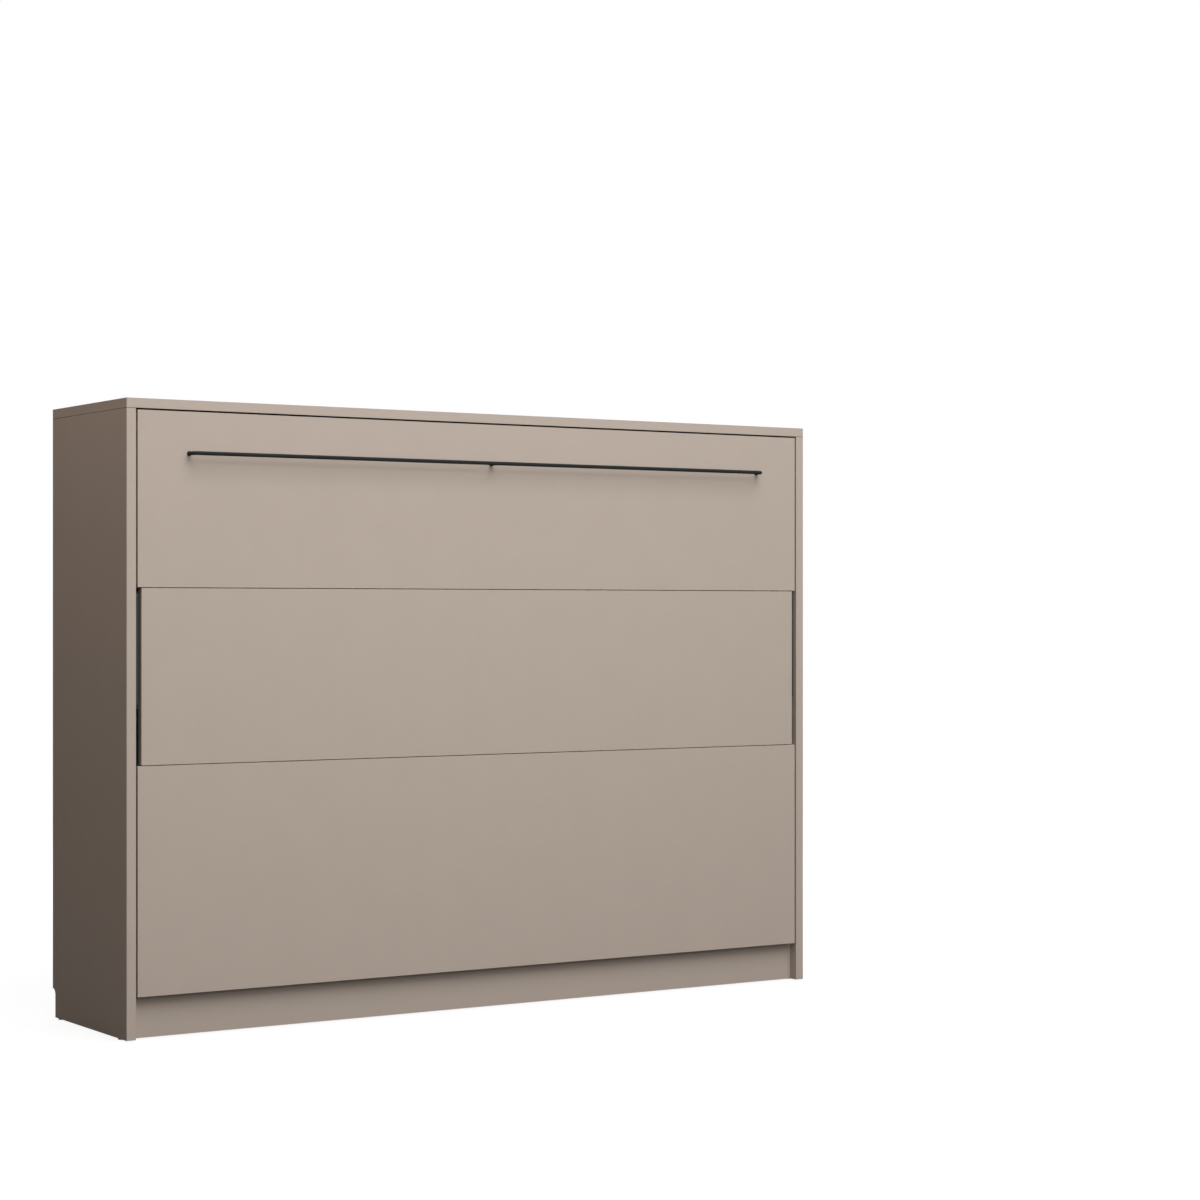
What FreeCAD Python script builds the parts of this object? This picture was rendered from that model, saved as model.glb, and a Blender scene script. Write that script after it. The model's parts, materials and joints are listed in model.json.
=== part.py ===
import FreeCAD, Part
import os
import re
import Sketcher
from FreeCAD import Placement, Rotation, Vector

# A horizontal foldaway wall bed, closed. X runs along the width, +Y points to the wall, Z is up.
# Depths are counted from the cabinet's front plane towards the wall, heights from the floor.

# Driving sizes, in millimetres, degrees and counts
SIZES = {
    # Cabinet boards
    "cabinet_width": 2120,
    "cabinet_height": 1616,
    "cabinet_depth": 494,
    "board": 25,
    "skirting_depth": 18,
    "skirting_height": 76,
    "skirting_corner": 17,
    "plinth_recess": 29.5,
    "plinth_board": 18,
    "plinth_height": 102,
    "plinth_top_gap": 5,
    "rear_rail_height": 150,
    "back_sheet": 3,
    "back_sheet_rise": 4,
    "joint_strip_width": 30,
    "joint_strip_thickness": 3,
    # Wall fixing holes in the upper rear rail
    "wall_hole": 8,
    "wall_hole_spacing_across": 800,
    "wall_hole_spacing_up": 80,
    # Glide feet under the sides
    "foot_height": 4,
    "foot_diameter": 20,
    "foot_front_inset": 59,
    "foot_rear_inset": 18,
    "foot_pin": 8,
    "foot_pin_length": 22,
    # Corner brackets and wood screws
    "bracket_leg": 30,
    "bracket_width": 40,
    "bracket_thickness": 3,
    "bracket_screw_reach": 19,
    "bracket_screw_spread": 10,
    "bracket_front_inset": 110,
    "bracket_rear_inset": 104,
    "wood_screw": 5,
    "wood_screw_head": 10,
    "wood_screw_head_height": 2.5,
    "wood_screw_length": 17,
    "screw_clearance": 0.1,
    # Front panels
    "panel_thickness": 18,
    "panel_recess": 0.5,
    "panel_side_gap": 5,
    "panel_top_gap": 4,
    "panel_seam": 2,
    "upper_panels_share": 0.303,
    "middle_panel_inset": 10.2,
    # Bar handle
    "handle_rod": 10,
    "handle_end_inset": 140.2,
    "handle_axis_reach": 30,
    "handle_drop": 106.3,
    "handle_bend": 12,
    "saddle_trim": 2.5,
    "collar": 12.5,
    "collar_thickness": 2,
    "handle_screw": 5,
    "handle_screw_head": 11,
    "handle_screw_head_height": 3,
    "handle_screw_bite": 12,
    # Steel tube frame
    "rail_width": 20,
    "rail_depth": 40,
    "tube_wall": 2,
    "frame_side_gap": 31,
    "frame_bottom_inset": 19,
    "frame_top_inset": 27,
    "beam_height": 40,
    "beam_depth": 20,
    "post_width": 40,
    "post_pitches": 2.5,
    # Panel screws through the frame
    "panel_screw": 5,
    "panel_screw_head": 10,
    "panel_screw_head_height": 3,
    "panel_screw_bite": 12,
    "panel_screw_edge": 70,
    # Slats and their holders
    "slat_columns": 14,
    "slat_width": 53,
    "slat_thickness": 8,
    "slat_bow": 6,
    "slat_end_inset": 3,
    "holder_length": 36,
    "holder_wall": 2,
    "holder_side_wall": 3,
    "holder_pocket": 10,
    "holder_play": 0.5,
    "holder_edge_inset": 1,
    # Mattress, straps and hoops
    "mattress_side_gap": 9,
    "mattress_end_gap": 20,
    "mattress_thickness": 180,
    "mattress_corner": 60,
    "mattress_edge": 20,
    "soft_clearance": 0.3,
    "strap_width": 40,
    "strap_thickness": 2,
    "strap_pitches": 4,
    "strap_foot": 14,
    "buckle_width": 52,
    "buckle_height": 60,
    "buckle_thickness": 9,
    "buckle_corner": 3,
    "hoop_rod": 8,
    "hoop_pitches": 1.5,
    "hoop_reach": 95,
    "hoop_bend": 20,
    # Main pivot
    "pivot_pin": 16,
    "bush_wall": 2,
    "running_clearance": 0.05,
    "fixed_clearance": 0.02,
    # Mechanism plates on the cabinet sides
    "mechanism_plate": 3,
    "mechanism_front": 14,
    "mechanism_reach": 78,
    "mechanism_below": 46,
    "mechanism_above": 40,
    "mechanism_corner": 12,
    "mechanism_screw_margin": 12,
    # Arm plates on the bed frame
    "arm_plate": 4,
    "arm_front_gap": 3.5,
    "arm_margin": 18,
    "arm_plinth_gap": 19,
    "arm_above": 55,
    "arm_rear_gap": 2,
    "arm_corner": 6,
    # Bolts into the frame tubes
    "frame_bolt": 6,
    "frame_bolt_head": 12,
    "frame_bolt_head_height": 4,
    "frame_bolt_bite": 6,
    "frame_bolt_inset": 10,
    # Gas springs
    "spring_radius": 150,
    "spring_upper_angle": 85,
    "spring_spread": 164,
    "fold_angle": 90,
    "spring_tube": 20,
    "spring_bore": 15,
    "spring_rod": 8,
    "spring_piston_clearance": 0.3,
    "spring_piston_thickness": 6,
    "spring_gland": 6,
    "spring_tube_start": 8,
    "spring_end_gap": 4.5,
    "spring_piston_gap": 3,
    "spring_stop_gap": 11.5,
    "spring_eye": 20,
    "spring_rod_eye": 18,
    "spring_eye_width": 12,
    "spring_side_gap": 0.5,
    "stud": 10,
    "stud_shoulder": 16,
    "stud_side_play": 0.5,
    "stud_end": 2,
    # Legs and their channels
    "leg_width": 40,
    "leg_thickness": 6,
    "leg_side_play": 0.5,
    "leg_wall_gap": 4.1,
    "leg_pivot_depth": 30,
    "leg_pivot_drop": 24,
    "leg_foot_height": 12,
    "leg_foot_corner": 2,
    "leg_pin": 10,
    "leg_pin_head": 16,
    "leg_pin_head_height": 2,
    "channel_sheet": 2.5,
    "channel_front": 10.5,
    "channel_rear_gap": 2.5,
    "channel_end_gap": 2,
    "channel_base_gap": 1.5,
    # Stops for the closed front
    "stop_height": 40,
    "stop_depth": 40,
    "stop_width": 23,
    "stop_drop": 77,
    "stop_pad": 12,
    "stop_pad_thickness": 3,
    # How far a cutting shape reaches past what it cuts
    "overrun": 5,
}

# Sizes and places worked out from the driving sizes, each from those above it
PLACES = {
    # Cabinet
    "front_y": "(handle_axis_reach + handle_rod / 2 - cabinet_depth) / 2",
    "rear_y": "front_y + cabinet_depth",
    "half_width": "cabinet_width / 2",
    "inner_half": "half_width - board",
    "top_board_z": "cabinet_height - board",
    "rear_rail_y": "rear_y - back_sheet - board",
    "rear_rail_rear_y": "rear_rail_y + board",
    "back_sheet_z": "foot_height + skirting_height + back_sheet_rise",
    "upper_rear_rail_z": "top_board_z - rear_rail_height",
    "wall_hole_z": "upper_rear_rail_z + rear_rail_height / 2",
    # Front panels
    "panel_y": "front_y + panel_recess",
    "panel_rear_y": "panel_y + panel_thickness",
    "panel_half": "inner_half - panel_side_gap",
    "middle_panel_half": "panel_half - middle_panel_inset",
    "plinth_top_z": "foot_height + plinth_height",
    "bottom_panel_z": "plinth_top_z + plinth_top_gap",
    "top_panel_top_z": "top_board_z - panel_top_gap",
    "panels_height": "top_panel_top_z - bottom_panel_z - 2 * panel_seam",
    "top_panel_height": "panels_height * upper_panels_share",
    "middle_panel_height": "top_panel_height",
    "bottom_panel_height": "panels_height - top_panel_height - middle_panel_height",
    "middle_panel_z": "bottom_panel_z + bottom_panel_height + panel_seam",
    "top_panel_z": "middle_panel_z + middle_panel_height + panel_seam",
    "plinth_rear_y": "front_y + plinth_recess + plinth_board",
    # Handle
    "handle_y": "front_y - handle_axis_reach",
    "handle_z": "top_panel_top_z - handle_drop",
    "handle_leg": "panel_y - handle_y",
    "handle_half_span": "panel_half - handle_end_inset",
    # Frame
    "frame_half": "inner_half - frame_side_gap",
    "rail_inner_half": "frame_half - rail_width",
    "frame_y": "panel_rear_y",
    "frame_rear_y": "frame_y + rail_depth",
    "frame_z": "bottom_panel_z + frame_bottom_inset",
    "frame_top_z": "top_panel_top_z - frame_top_inset",
    "beam_z": "(frame_z + frame_top_z - beam_height) / 2",
    "beam_y": "frame_rear_y - beam_depth",
    "post_depth": "rail_depth - beam_depth",
    "slat_pitch": "2 * rail_inner_half / slat_columns",
    "post_offset": "post_pitches * slat_pitch",
    # Slats
    "holder_width": "slat_width + 2 * holder_play + 2 * holder_side_wall",
    "holder_height": "holder_pocket + 2 * holder_wall",
    "slat_tip_y": "frame_rear_y + holder_wall + holder_play",
    "lower_slat_z": "frame_z + slat_end_inset",
    "slat_length": "beam_z + beam_height / 2 - 2 * slat_end_inset - frame_z",
    "upper_slat_z": "beam_z + beam_height / 2 + slat_end_inset",
    "slat_curve": "slat_length * slat_length / (8 * slat_bow) + slat_bow / 2",
    "slat_sweep": "2 * asin(slat_length / (2 * slat_curve)) / 1 deg",
    # Mattress
    "mattress_y": "slat_tip_y + slat_thickness + slat_bow + soft_clearance",
    "mattress_rear_y": "mattress_y + mattress_thickness",
    "mattress_half": "frame_half - mattress_side_gap",
    "mattress_z": "frame_z + mattress_end_gap",
    "mattress_top_z": "frame_top_z - mattress_end_gap",
    "strap_offset": "strap_pitches * slat_pitch",
    "strap_low_z": "mattress_z - soft_clearance",
    "strap_high_z": "mattress_top_z + soft_clearance",
    "strap_rear_y": "mattress_rear_y + soft_clearance",
    "hoop_z": "mattress_z - soft_clearance - hoop_rod / 2",
    "hoop_centre": "hoop_pitches * slat_pitch",
    "hoop_half_span": "slat_pitch / 2",
    # Main pivot and gas spring ends
    "spring_lower_angle": "spring_upper_angle - spring_spread",
    "lower_stud_z": "plinth_top_z + arm_plinth_gap + arm_margin",
    "pivot_height": "lower_stud_z - spring_radius * sin(spring_lower_angle * 1 deg)",
    "pivot_y": "frame_y + rail_depth / 2",
    "bush": "pivot_pin + 2 * running_clearance + 2 * bush_wall",
    "arm_half": "frame_half + arm_plate",
    "mechanism_half": "inner_half - mechanism_plate",
    "upper_stud_y": "pivot_y + spring_radius * cos(spring_upper_angle * 1 deg)",
    "upper_stud_z": "pivot_height + spring_radius * sin(spring_upper_angle * 1 deg)",
    "lower_stud_y": "pivot_y + spring_radius * cos(spring_lower_angle * 1 deg)",
    "spring_tilt": "spring_upper_angle - spring_spread / 2 - 180",
    "spring_long": "2 * spring_radius * sin(spring_spread / 2 * 1 deg)",
    "spring_short": "2 * spring_radius * sin((spring_spread - fold_angle) / 2 * 1 deg)",
    "spring_tube_end": "spring_short - spring_rod_eye / 2 - spring_stop_gap",
    "spring_piston_seat": "spring_tube_end - spring_gland - spring_piston_gap - spring_piston_thickness",
    "spring_rod_length": "spring_long - spring_piston_seat",
    "spring_cavity_start": "spring_short - spring_rod_length - spring_end_gap",
    "spring_half": "arm_half + spring_side_gap + spring_tube / 2",
    "stud_hole": "stud + 2 * running_clearance",
    # Mechanism plates
    "mechanism_y": "front_y + mechanism_front",
    "mechanism_rear_y": "mechanism_y + mechanism_reach",
    "mechanism_z": "pivot_height - mechanism_below",
    "mechanism_top_z": "upper_stud_z + mechanism_above",
    # Arm plates
    "arm_y": "panel_rear_y + arm_front_gap",
    "arm_rear_y": "lower_stud_y + arm_margin",
    "arm_neck_y": "frame_rear_y - arm_rear_gap",
    "arm_z": "lower_stud_z - arm_margin",
    "arm_heel_z": "lower_stud_z + arm_margin",
    "arm_slope_z": "arm_heel_z + (arm_rear_y - arm_neck_y)",
    "arm_top_z": "pivot_height + arm_above",
    "arm_bolt_y": "arm_y + frame_bolt_inset",
    "frame_bolt_length": "arm_plate + frame_bolt_bite",
    # Legs
    "leg_half": "inner_half - leg_wall_gap - leg_thickness",
    "leg_y": "front_y + leg_pivot_depth",
    "leg_z": "middle_panel_z + middle_panel_height - leg_pivot_drop",
    "leg_drop": "pivot_height - pivot_y + leg_y",
    "channel_half": "leg_half - leg_side_play - channel_sheet",
    "channel_outer_half": "leg_half - leg_side_play",
    "channel_y": "front_y + channel_front",
    "channel_rear_y": "frame_rear_y - channel_rear_gap",
    "channel_base_y": "frame_y + channel_base_gap",
    "channel_z": "middle_panel_z + channel_end_gap",
    "channel_length": "middle_panel_height - 2 * channel_end_gap",
    "channel_bolt_y": "(channel_base_y + channel_rear_y) / 2",
    # Stops
    "stop_y": "panel_rear_y + stop_pad_thickness",
    "stop_z": "top_panel_top_z - stop_drop - stop_height / 2",
}

SIDES = ("left", "right")
ALONG = {
    "x": Rotation(Vector(0, 1, 0), 90),
    "y": Rotation(Vector(1, 0, 0), -90),
    "z": Rotation(),
}
WORD = re.compile(r"[a-z_]+[a-z]")

doc = FreeCAD.newDocument("wall_bed")
subparts = []


# The sheets and the expressions that read them


def formula(text):
    """An expression in plain size names, with the sheet that holds each name put before it."""

    def with_sheet(found):
        name = found.group()
        if name in SIZES:
            return "sizes." + name
        if name in PLACES:
            return "places." + name
        return name

    return WORD.sub(with_sheet, text)


def fill_sheet(name, cells):
    sheet = doc.addObject("Spreadsheet::Sheet", name)
    for row, (alias, content) in enumerate(cells.items(), start=1):
        sheet.set(f"A{row}", alias)
        sheet.set(f"B{row}", content)
        sheet.setAlias(f"B{row}", alias)
    return sheet


sizes = fill_sheet("sizes", {alias: str(number) for alias, number in SIZES.items()})
doc.recompute()
own_cells = {alias: "=" + formula(text).replace("places.", "") for alias, text in PLACES.items()}
places = fill_sheet("places", own_cells)
doc.recompute()


def value(text):
    """The number that an expression in size names has now."""
    return float(places.evalExpression(formula(text)))


# Building blocks


def bind(piece, links):
    for path, text in links.items():
        piece.setExpression(path, formula(text))


def place(piece, point):
    bind(piece, dict(zip(("Placement.Base.x", "Placement.Base.y", "Placement.Base.z"), point)))


def keep(piece):
    """Marks a document object as one sub-part of the bed, written under its own label."""
    subparts.append(piece)
    return piece


def block(name, corner, extent):
    """A box from its low corner, with its extent along X, Y and Z."""
    piece = doc.addObject("Part::Box", name)
    bind(piece, dict(zip(("Length", "Width", "Height"), extent)))
    place(piece, corner)
    return piece


def rod(name, axis, start, length, diameter):
    """A round bar that starts at a point and runs along +X, +Y or +Z."""
    piece = doc.addObject("Part::Cylinder", name)
    piece.Placement = Placement(Vector(), ALONG[axis])
    bind(piece, {"Radius": f"({diameter}) / 2", "Height": length})
    place(piece, start)
    return piece


def fuse(name, pieces):
    piece = doc.addObject("Part::MultiFuse", name)
    piece.Shapes = pieces
    piece.Refine = True
    return piece


def cut(name, base, tools):
    piece = doc.addObject("Part::Cut", name)
    piece.Base = base
    if len(tools) > 1:
        bundle = doc.addObject("Part::Compound", name + "_tools")
        bundle.Links = tools
        piece.Tool = bundle
    else:
        piece.Tool = tools[0]
    return piece


def copies(name, template, frames):
    """Separate copies of a template's shape, one at each frame, as one group."""
    doc.recompute()
    shapes = []
    for frame in frames:
        shape = template.Shape.copy()
        shape.Placement = frame.multiply(shape.Placement)
        shapes.append(shape)
    piece = doc.addObject("Part::Feature", name)
    piece.Shape = Part.makeCompound(shapes)
    return piece


def spot(x, y, z):
    """A point from three expressions."""
    return Vector(value(x), value(y), value(z))


def frame_at(x, y, z, turn=Rotation()):
    return Placement(spot(x, y, z), turn)


def low_x(side, inner, thickness):
    """The low X of a piece that lies from inner outwards, on the left or right of the bed."""
    return inner if side == "right" else f"-({inner}) - ({thickness})"


def mirror_x(side, x):
    return x if side == "right" else f"-({x})"


def on_both_sides(x, y, z, turns):
    """One frame on the left and one on the right, each turned as its side needs."""
    return [frame_at(mirror_x(side, x), y, z, turns[side]) for side in SIDES]


def plane_sketch(body, name, role):
    sketch = body.newObject("Sketcher::SketchObject", name)
    plane = next(feature for feature in body.Origin.OriginFeatures if feature.Role == role)
    sketch.AttachmentSupport = [(plane, "")]
    sketch.MapMode = "FlatFace"
    return sketch


def tie_point(sketch, geometry, point, across, up):
    for kind, text in (("DistanceX", across), ("DistanceY", up)):
        index = sketch.addConstraint(Sketcher.Constraint(kind, geometry, point, value(text)))
        sketch.setExpression(f"Constraints[{index}]", formula(text))


def polygon(sketch, corners):
    """A closed outline whose corners are tied to the sheets."""
    spots = [Vector(value(across), value(up), 0) for across, up in corners]
    count = len(spots)
    for index, start in enumerate(spots):
        sketch.addGeometry(Part.LineSegment(start, spots[(index + 1) % count]), False)
    for index in range(count):
        sketch.addConstraint(Sketcher.Constraint("Coincident", index, 2, (index + 1) % count, 1))
    for index, (across, up) in enumerate(corners):
        tie_point(sketch, index, 1, across, up)


def plate(name, role, corners, thickness):
    """A body padded from an outline on one of its own planes."""
    body = doc.addObject("PartDesign::Body", name)
    sketch = plane_sketch(body, name + "_outline", role)
    polygon(sketch, corners)
    pad = body.newObject("PartDesign::Pad", name + "_pad")
    pad.Profile = sketch
    bind(pad, {"Length": thickness})
    doc.recompute()
    return body


def round_edges(body, name, wanted, radius):
    """Rounds the edges of a body that a test picks."""
    tip = body.Tip
    edges = [f"Edge{index}" for index, edge in enumerate(tip.Shape.Edges, start=1) if wanted(edge)]
    fillet = body.newObject("PartDesign::Fillet", name)
    fillet.Base = (tip, edges)
    bind(fillet, {"Radius": radius})
    doc.recompute()


def edge_along(axis, corners):
    """A test for straight edges along an axis that pass a corner, given in the other two directions."""
    others = [index for index in range(3) if index != axis]
    points = [(value(across), value(up)) for across, up in corners]
    near = value("running_clearance")

    def wanted(edge):
        start, end = (vertex.Point for vertex in (edge.Vertexes[0], edge.Vertexes[-1]))
        if abs(start[axis] - end[axis]) < near:
            return False
        across, up = (start[index] for index in others)
        return any(abs(across - a) < near and abs(up - b) < near for a, b in points)

    return wanted


def pierce(body, name, role, holes):
    """Round holes right through a body, from a sketch of circles on one of its planes."""
    sketch = plane_sketch(body, name + "_circles", role)
    for index, (across, up, diameter) in enumerate(holes):
        centre = Vector(value(across), value(up), 0)
        sketch.addGeometry(Part.Circle(centre, Vector(0, 0, 1), value(diameter) / 2), False)
        tie_point(sketch, index, 3, across, up)
        size = sketch.addConstraint(Sketcher.Constraint("Diameter", index, value(diameter)))
        sketch.setExpression(f"Constraints[{size}]", formula(diameter))
    pocket = body.newObject("PartDesign::Pocket", name)
    pocket.Profile = sketch
    pocket.Type = "ThroughAll"
    pocket.Midplane = True
    doc.recompute()


def bent_rod(name, half_span, reach, bend, diameter):
    """A U of round bar in the XY plane: a straight bar along X, whose bent ends run along +Y."""
    start = (f"{bend} - {half_span}", "0", "0")
    pieces = [rod(name + "_bar", "x", start, f"2 * ({half_span} - {bend})", diameter)]
    for side, quarter in (("left", 180), ("right", 270)):
        leg_x = mirror_x(side, half_span)
        leg = rod(f"{name}_{side}_leg", "y", (leg_x, bend, "0"), f"{reach} - {bend}", diameter)
        corner = doc.addObject("Part::Torus", f"{name}_{side}_bend")
        corner.Angle3 = 90
        corner.Placement = Placement(Vector(), Rotation(Vector(0, 0, 1), quarter))
        bind(corner, {"Radius1": bend, "Radius2": f"{diameter} / 2"})
        place(corner, (mirror_x(side, f"({half_span} - {bend})"), bend, "0"))
        pieces += [leg, corner]
    return fuse(name, pieces)


def headed_screw(name, diameter, head, head_height, length):
    """A screw with a flat round head: the head stands up from Z zero, the shank runs down."""
    shank = rod(name + "_shank", "z", ("0", "0", f"-({length})"), length, diameter)
    cap = rod(name + "_head", "z", ("0", "0", "0"), head_height, head)
    return fuse(name, [shank, cap])


def countersunk_screw(name, clearance):
    """A countersunk screw, or with a clearance the hole for one: flush at Z zero, shank down."""
    shank = rod(
        name + "_shank",
        "z",
        ("0", "0", f"-wood_screw_length - {clearance}"),
        f"wood_screw_length + {clearance}",
        f"wood_screw + 2 * {clearance}",
    )
    head = doc.addObject("Part::Cone", name + "_head")
    bind(
        head,
        {
            "Radius1": f"wood_screw / 2 + {clearance}",
            "Radius2": f"wood_screw_head / 2 + {clearance}",
            "Height": "wood_screw_head_height",
        },
    )
    place(head, ("0", "0", "-wood_screw_head_height"))
    return fuse(name, [shank, head])


wood_screw = countersunk_screw("wood_screw_template", "0")
wood_screw_hole = countersunk_screw("wood_screw_hole_template", "screw_clearance")
doc.recompute()

# Screws are modelled pointing down, so these turns point their shanks along each axis
SHANK_TO = {
    "-x": Rotation(Vector(0, 1, 0), 90),
    "+x": Rotation(Vector(0, 1, 0), -90),
    "-y": Rotation(Vector(1, 0, 0), -90),
}
SHANK_OUTWARD = {"left": SHANK_TO["-x"], "right": SHANK_TO["+x"]}
SHANK_INWARD = {"left": SHANK_TO["+x"], "right": SHANK_TO["-x"]}

# Turns about Z for pieces modelled along +X, so that they point to the middle or away from it
HALF_TURN = Rotation(Vector(0, 0, 1), 180)
TURN_IN = {"left": Rotation(), "right": HALF_TURN}
TURN_OUT = {"left": HALF_TURN, "right": Rotation()}
TURN_ROUND = {"left": HALF_TURN, "right": HALF_TURN}


# Places of the corner brackets and of all wood screws


def corner_frames():
    """Where each bracket sits: its X leaves the side panel and its Y leaves the other board."""
    frames = []
    for side, inward in (("left", Vector(1, 0, 0)), ("right", Vector(-1, 0, 0))):
        corner_x = mirror_x(side, "inner_half")
        corners = [
            (y, "top_board_z", Vector(0, 0, -1))
            for y in ("front_y + bracket_front_inset", "rear_y - bracket_rear_inset")
        ]
        corners += [
            ("plinth_rear_y", "plinth_top_z - plinth_height / 2", Vector(0, 1, 0)),
            ("rear_rail_y", "upper_rear_rail_z + rear_rail_height / 2", Vector(0, -1, 0)),
            ("rear_rail_y", "back_sheet_z + rear_rail_height / 2", Vector(0, -1, 0)),
        ]
        for y, z, away in corners:
            turn = Rotation(inward, away, inward.cross(away), "XYZ")
            frames.append(frame_at(corner_x, y, z, turn))
    return frames


def bracket_screw_frames():
    """The four screws of a bracket in its own frame, two in each leg."""
    frames = []
    for spread in ("bracket_screw_spread", "-bracket_screw_spread"):
        frames.append(frame_at("bracket_thickness", "bracket_screw_reach", spread, SHANK_TO["-x"]))
        frames.append(frame_at("bracket_screw_reach", "bracket_thickness", spread, SHANK_TO["-y"]))
    return frames


def mechanism_screw_frames():
    rows = ("mechanism_z + mechanism_screw_margin", "(mechanism_z + mechanism_top_z) / 2",
            "mechanism_top_z - mechanism_screw_margin")
    columns = ("mechanism_y + mechanism_screw_margin", "mechanism_rear_y - mechanism_screw_margin")
    return [
        frame_at(mirror_x(side, "mechanism_half"), y, z, SHANK_OUTWARD[side])
        for side in SIDES
        for y in columns
        for z in rows
    ]


bracket_corners = corner_frames()
bracket_screws = bracket_screw_frames()
plate_screws = mechanism_screw_frames()
wood_screw_places = [corner.multiply(screw) for corner in bracket_corners for screw in bracket_screws]
wood_screw_places += plate_screws
screw_holes = copies("wood_screw_holes", wood_screw_hole, wood_screw_places)


# Cabinet boards


def side_panel(side):
    """A side board with the notch for a skirting board and the seats of its two glide pins."""
    name = side + "_side_panel"
    notch_y = "rear_y - skirting_depth"
    notch_z = "foot_height + skirting_height"
    corners = (
        ("front_y", "foot_height"),
        (notch_y, "foot_height"),
        (notch_y, notch_z),
        ("rear_y", notch_z),
        ("rear_y", "top_board_z"),
        ("front_y", "top_board_z"),
    )
    board = plate(name + "_board", "YZ_Plane", corners, "board")
    round_edges(board, name + "_notch", edge_along(0, [(notch_y, notch_z)]), "skirting_corner")
    bind(board, {"Placement.Base.x": low_x(side, "inner_half", "board")})
    pin_holes = [
        rod(
            f"{name}_pin_hole_{number}",
            "z",
            (mirror_x(side, "half_width - board / 2"), y, "foot_height - overrun"),
            "foot_pin_length + screw_clearance + overrun",
            "foot_pin + 2 * screw_clearance",
        )
        for number, y in enumerate(glide_rows())
    ]
    return keep(cut(name, board, pin_holes + [screw_holes]))


def glide_rows():
    """Depths of the front and rear glides."""
    return ("front_y + foot_front_inset", "rear_y - skirting_depth - foot_rear_inset")


def wall_holes(name):
    """Cutters for the four wall fixings, through the upper rear rail and the sheets behind it."""
    return [
        rod(
            f"{name}_wall_hole_{across}{up}",
            "y",
            (
                f"{sign_x} * wall_hole_spacing_across / 2",
                "rear_rail_y - overrun",
                f"wall_hole_z + {sign_z} * wall_hole_spacing_up / 2",
            ),
            "board + back_sheet + 2 * overrun",
            "wall_hole",
        )
        for across, sign_x in (("a", -1), ("b", 1))
        for up, sign_z in (("c", -1), ("d", 1))
    ]


def cabinet_boards():
    for side in SIDES:
        side_panel(side)
    top = block(
        "top_board_plain",
        ("-half_width", "front_y", "top_board_z"),
        ("cabinet_width", "cabinet_depth", "board"),
    )
    keep(cut("top_board", top, [screw_holes]))
    plinth = block(
        "plinth_plain",
        ("-inner_half", "front_y + plinth_recess", "foot_height"),
        ("2 * inner_half", "plinth_board", "plinth_height"),
    )
    keep(cut("plinth_board", plinth, [screw_holes]))
    rail_extent = ("2 * inner_half", "board", "rear_rail_height")
    upper = block("upper_rail_plain", ("-inner_half", "rear_rail_y", "upper_rear_rail_z"), rail_extent)
    keep(cut("upper_rear_rail", upper, wall_holes("upper_rear_rail") + [screw_holes]))
    lower = block("lower_rail_plain", ("-inner_half", "rear_rail_y", "back_sheet_z"), rail_extent)
    keep(cut("lower_rear_rail", lower, [screw_holes]))
    for side in SIDES:
        name = side + "_back_sheet"
        sheet = block(
            name + "_plain",
            (low_x(side, "0", "inner_half"), "rear_rail_rear_y", "back_sheet_z"),
            ("inner_half", "back_sheet", "top_board_z - back_sheet_z"),
        )
        keep(cut(name, sheet, wall_holes(name)))
    strip_z = "back_sheet_z + rear_rail_height"
    keep(
        block(
            "back_joint_strip",
            ("-joint_strip_width / 2", "rear_rail_rear_y - joint_strip_thickness", strip_z),
            ("joint_strip_width", "joint_strip_thickness", f"upper_rear_rail_z - ({strip_z})"),
        )
    )


def glide_feet():
    """Four flat round glides, each pinned into a side panel's lower edge."""
    pad = rod("glide_pad", "z", ("0", "0", "0"), "foot_height", "foot_diameter")
    pin = rod("glide_pin", "z", ("0", "0", "0"), "foot_height + foot_pin_length", "foot_pin")
    glide = fuse("glide_template", [pad, pin])
    frames = [
        frame_at(mirror_x(side, "half_width - board / 2"), y, "0")
        for side in SIDES
        for y in glide_rows()
    ]
    keep(copies("glide_feet", glide, frames))


def corner_brackets():
    corner = ("0", "0", "-bracket_width / 2")
    side_leg = ("bracket_thickness", "bracket_leg", "bracket_width")
    board_leg = ("bracket_leg", "bracket_thickness", "bracket_width")
    legs = [block("bracket_side_leg", corner, side_leg), block("bracket_board_leg", corner, board_leg)]
    angle = fuse("bracket_angle", legs)
    holes = copies("bracket_holes", wood_screw_hole, bracket_screws)
    bracket = cut("bracket_template", angle, [holes])
    keep(copies("corner_brackets", bracket, bracket_corners))
    keep(copies("wood_screws", wood_screw, wood_screw_places))


def stops():
    """Blocks on the sides, with a rubber pad each, that the closed front rests against."""
    extent = ("stop_width", "stop_depth", "stop_height")
    stop = block("stop_block_template", ("0", "0", "0"), extent)
    frames = [
        frame_at(low_x(side, "inner_half - stop_width", "stop_width"), "stop_y", "stop_z") for side in SIDES
    ]
    keep(copies("stop_blocks", stop, frames))
    pad = rod(
        "stop_pad_template",
        "y",
        ("stop_width / 2", "-stop_pad_thickness", "stop_height / 2"),
        "stop_pad_thickness",
        "stop_pad",
    )
    keep(copies("stop_pads", pad, frames))


# Pivots and spring studs


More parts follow.
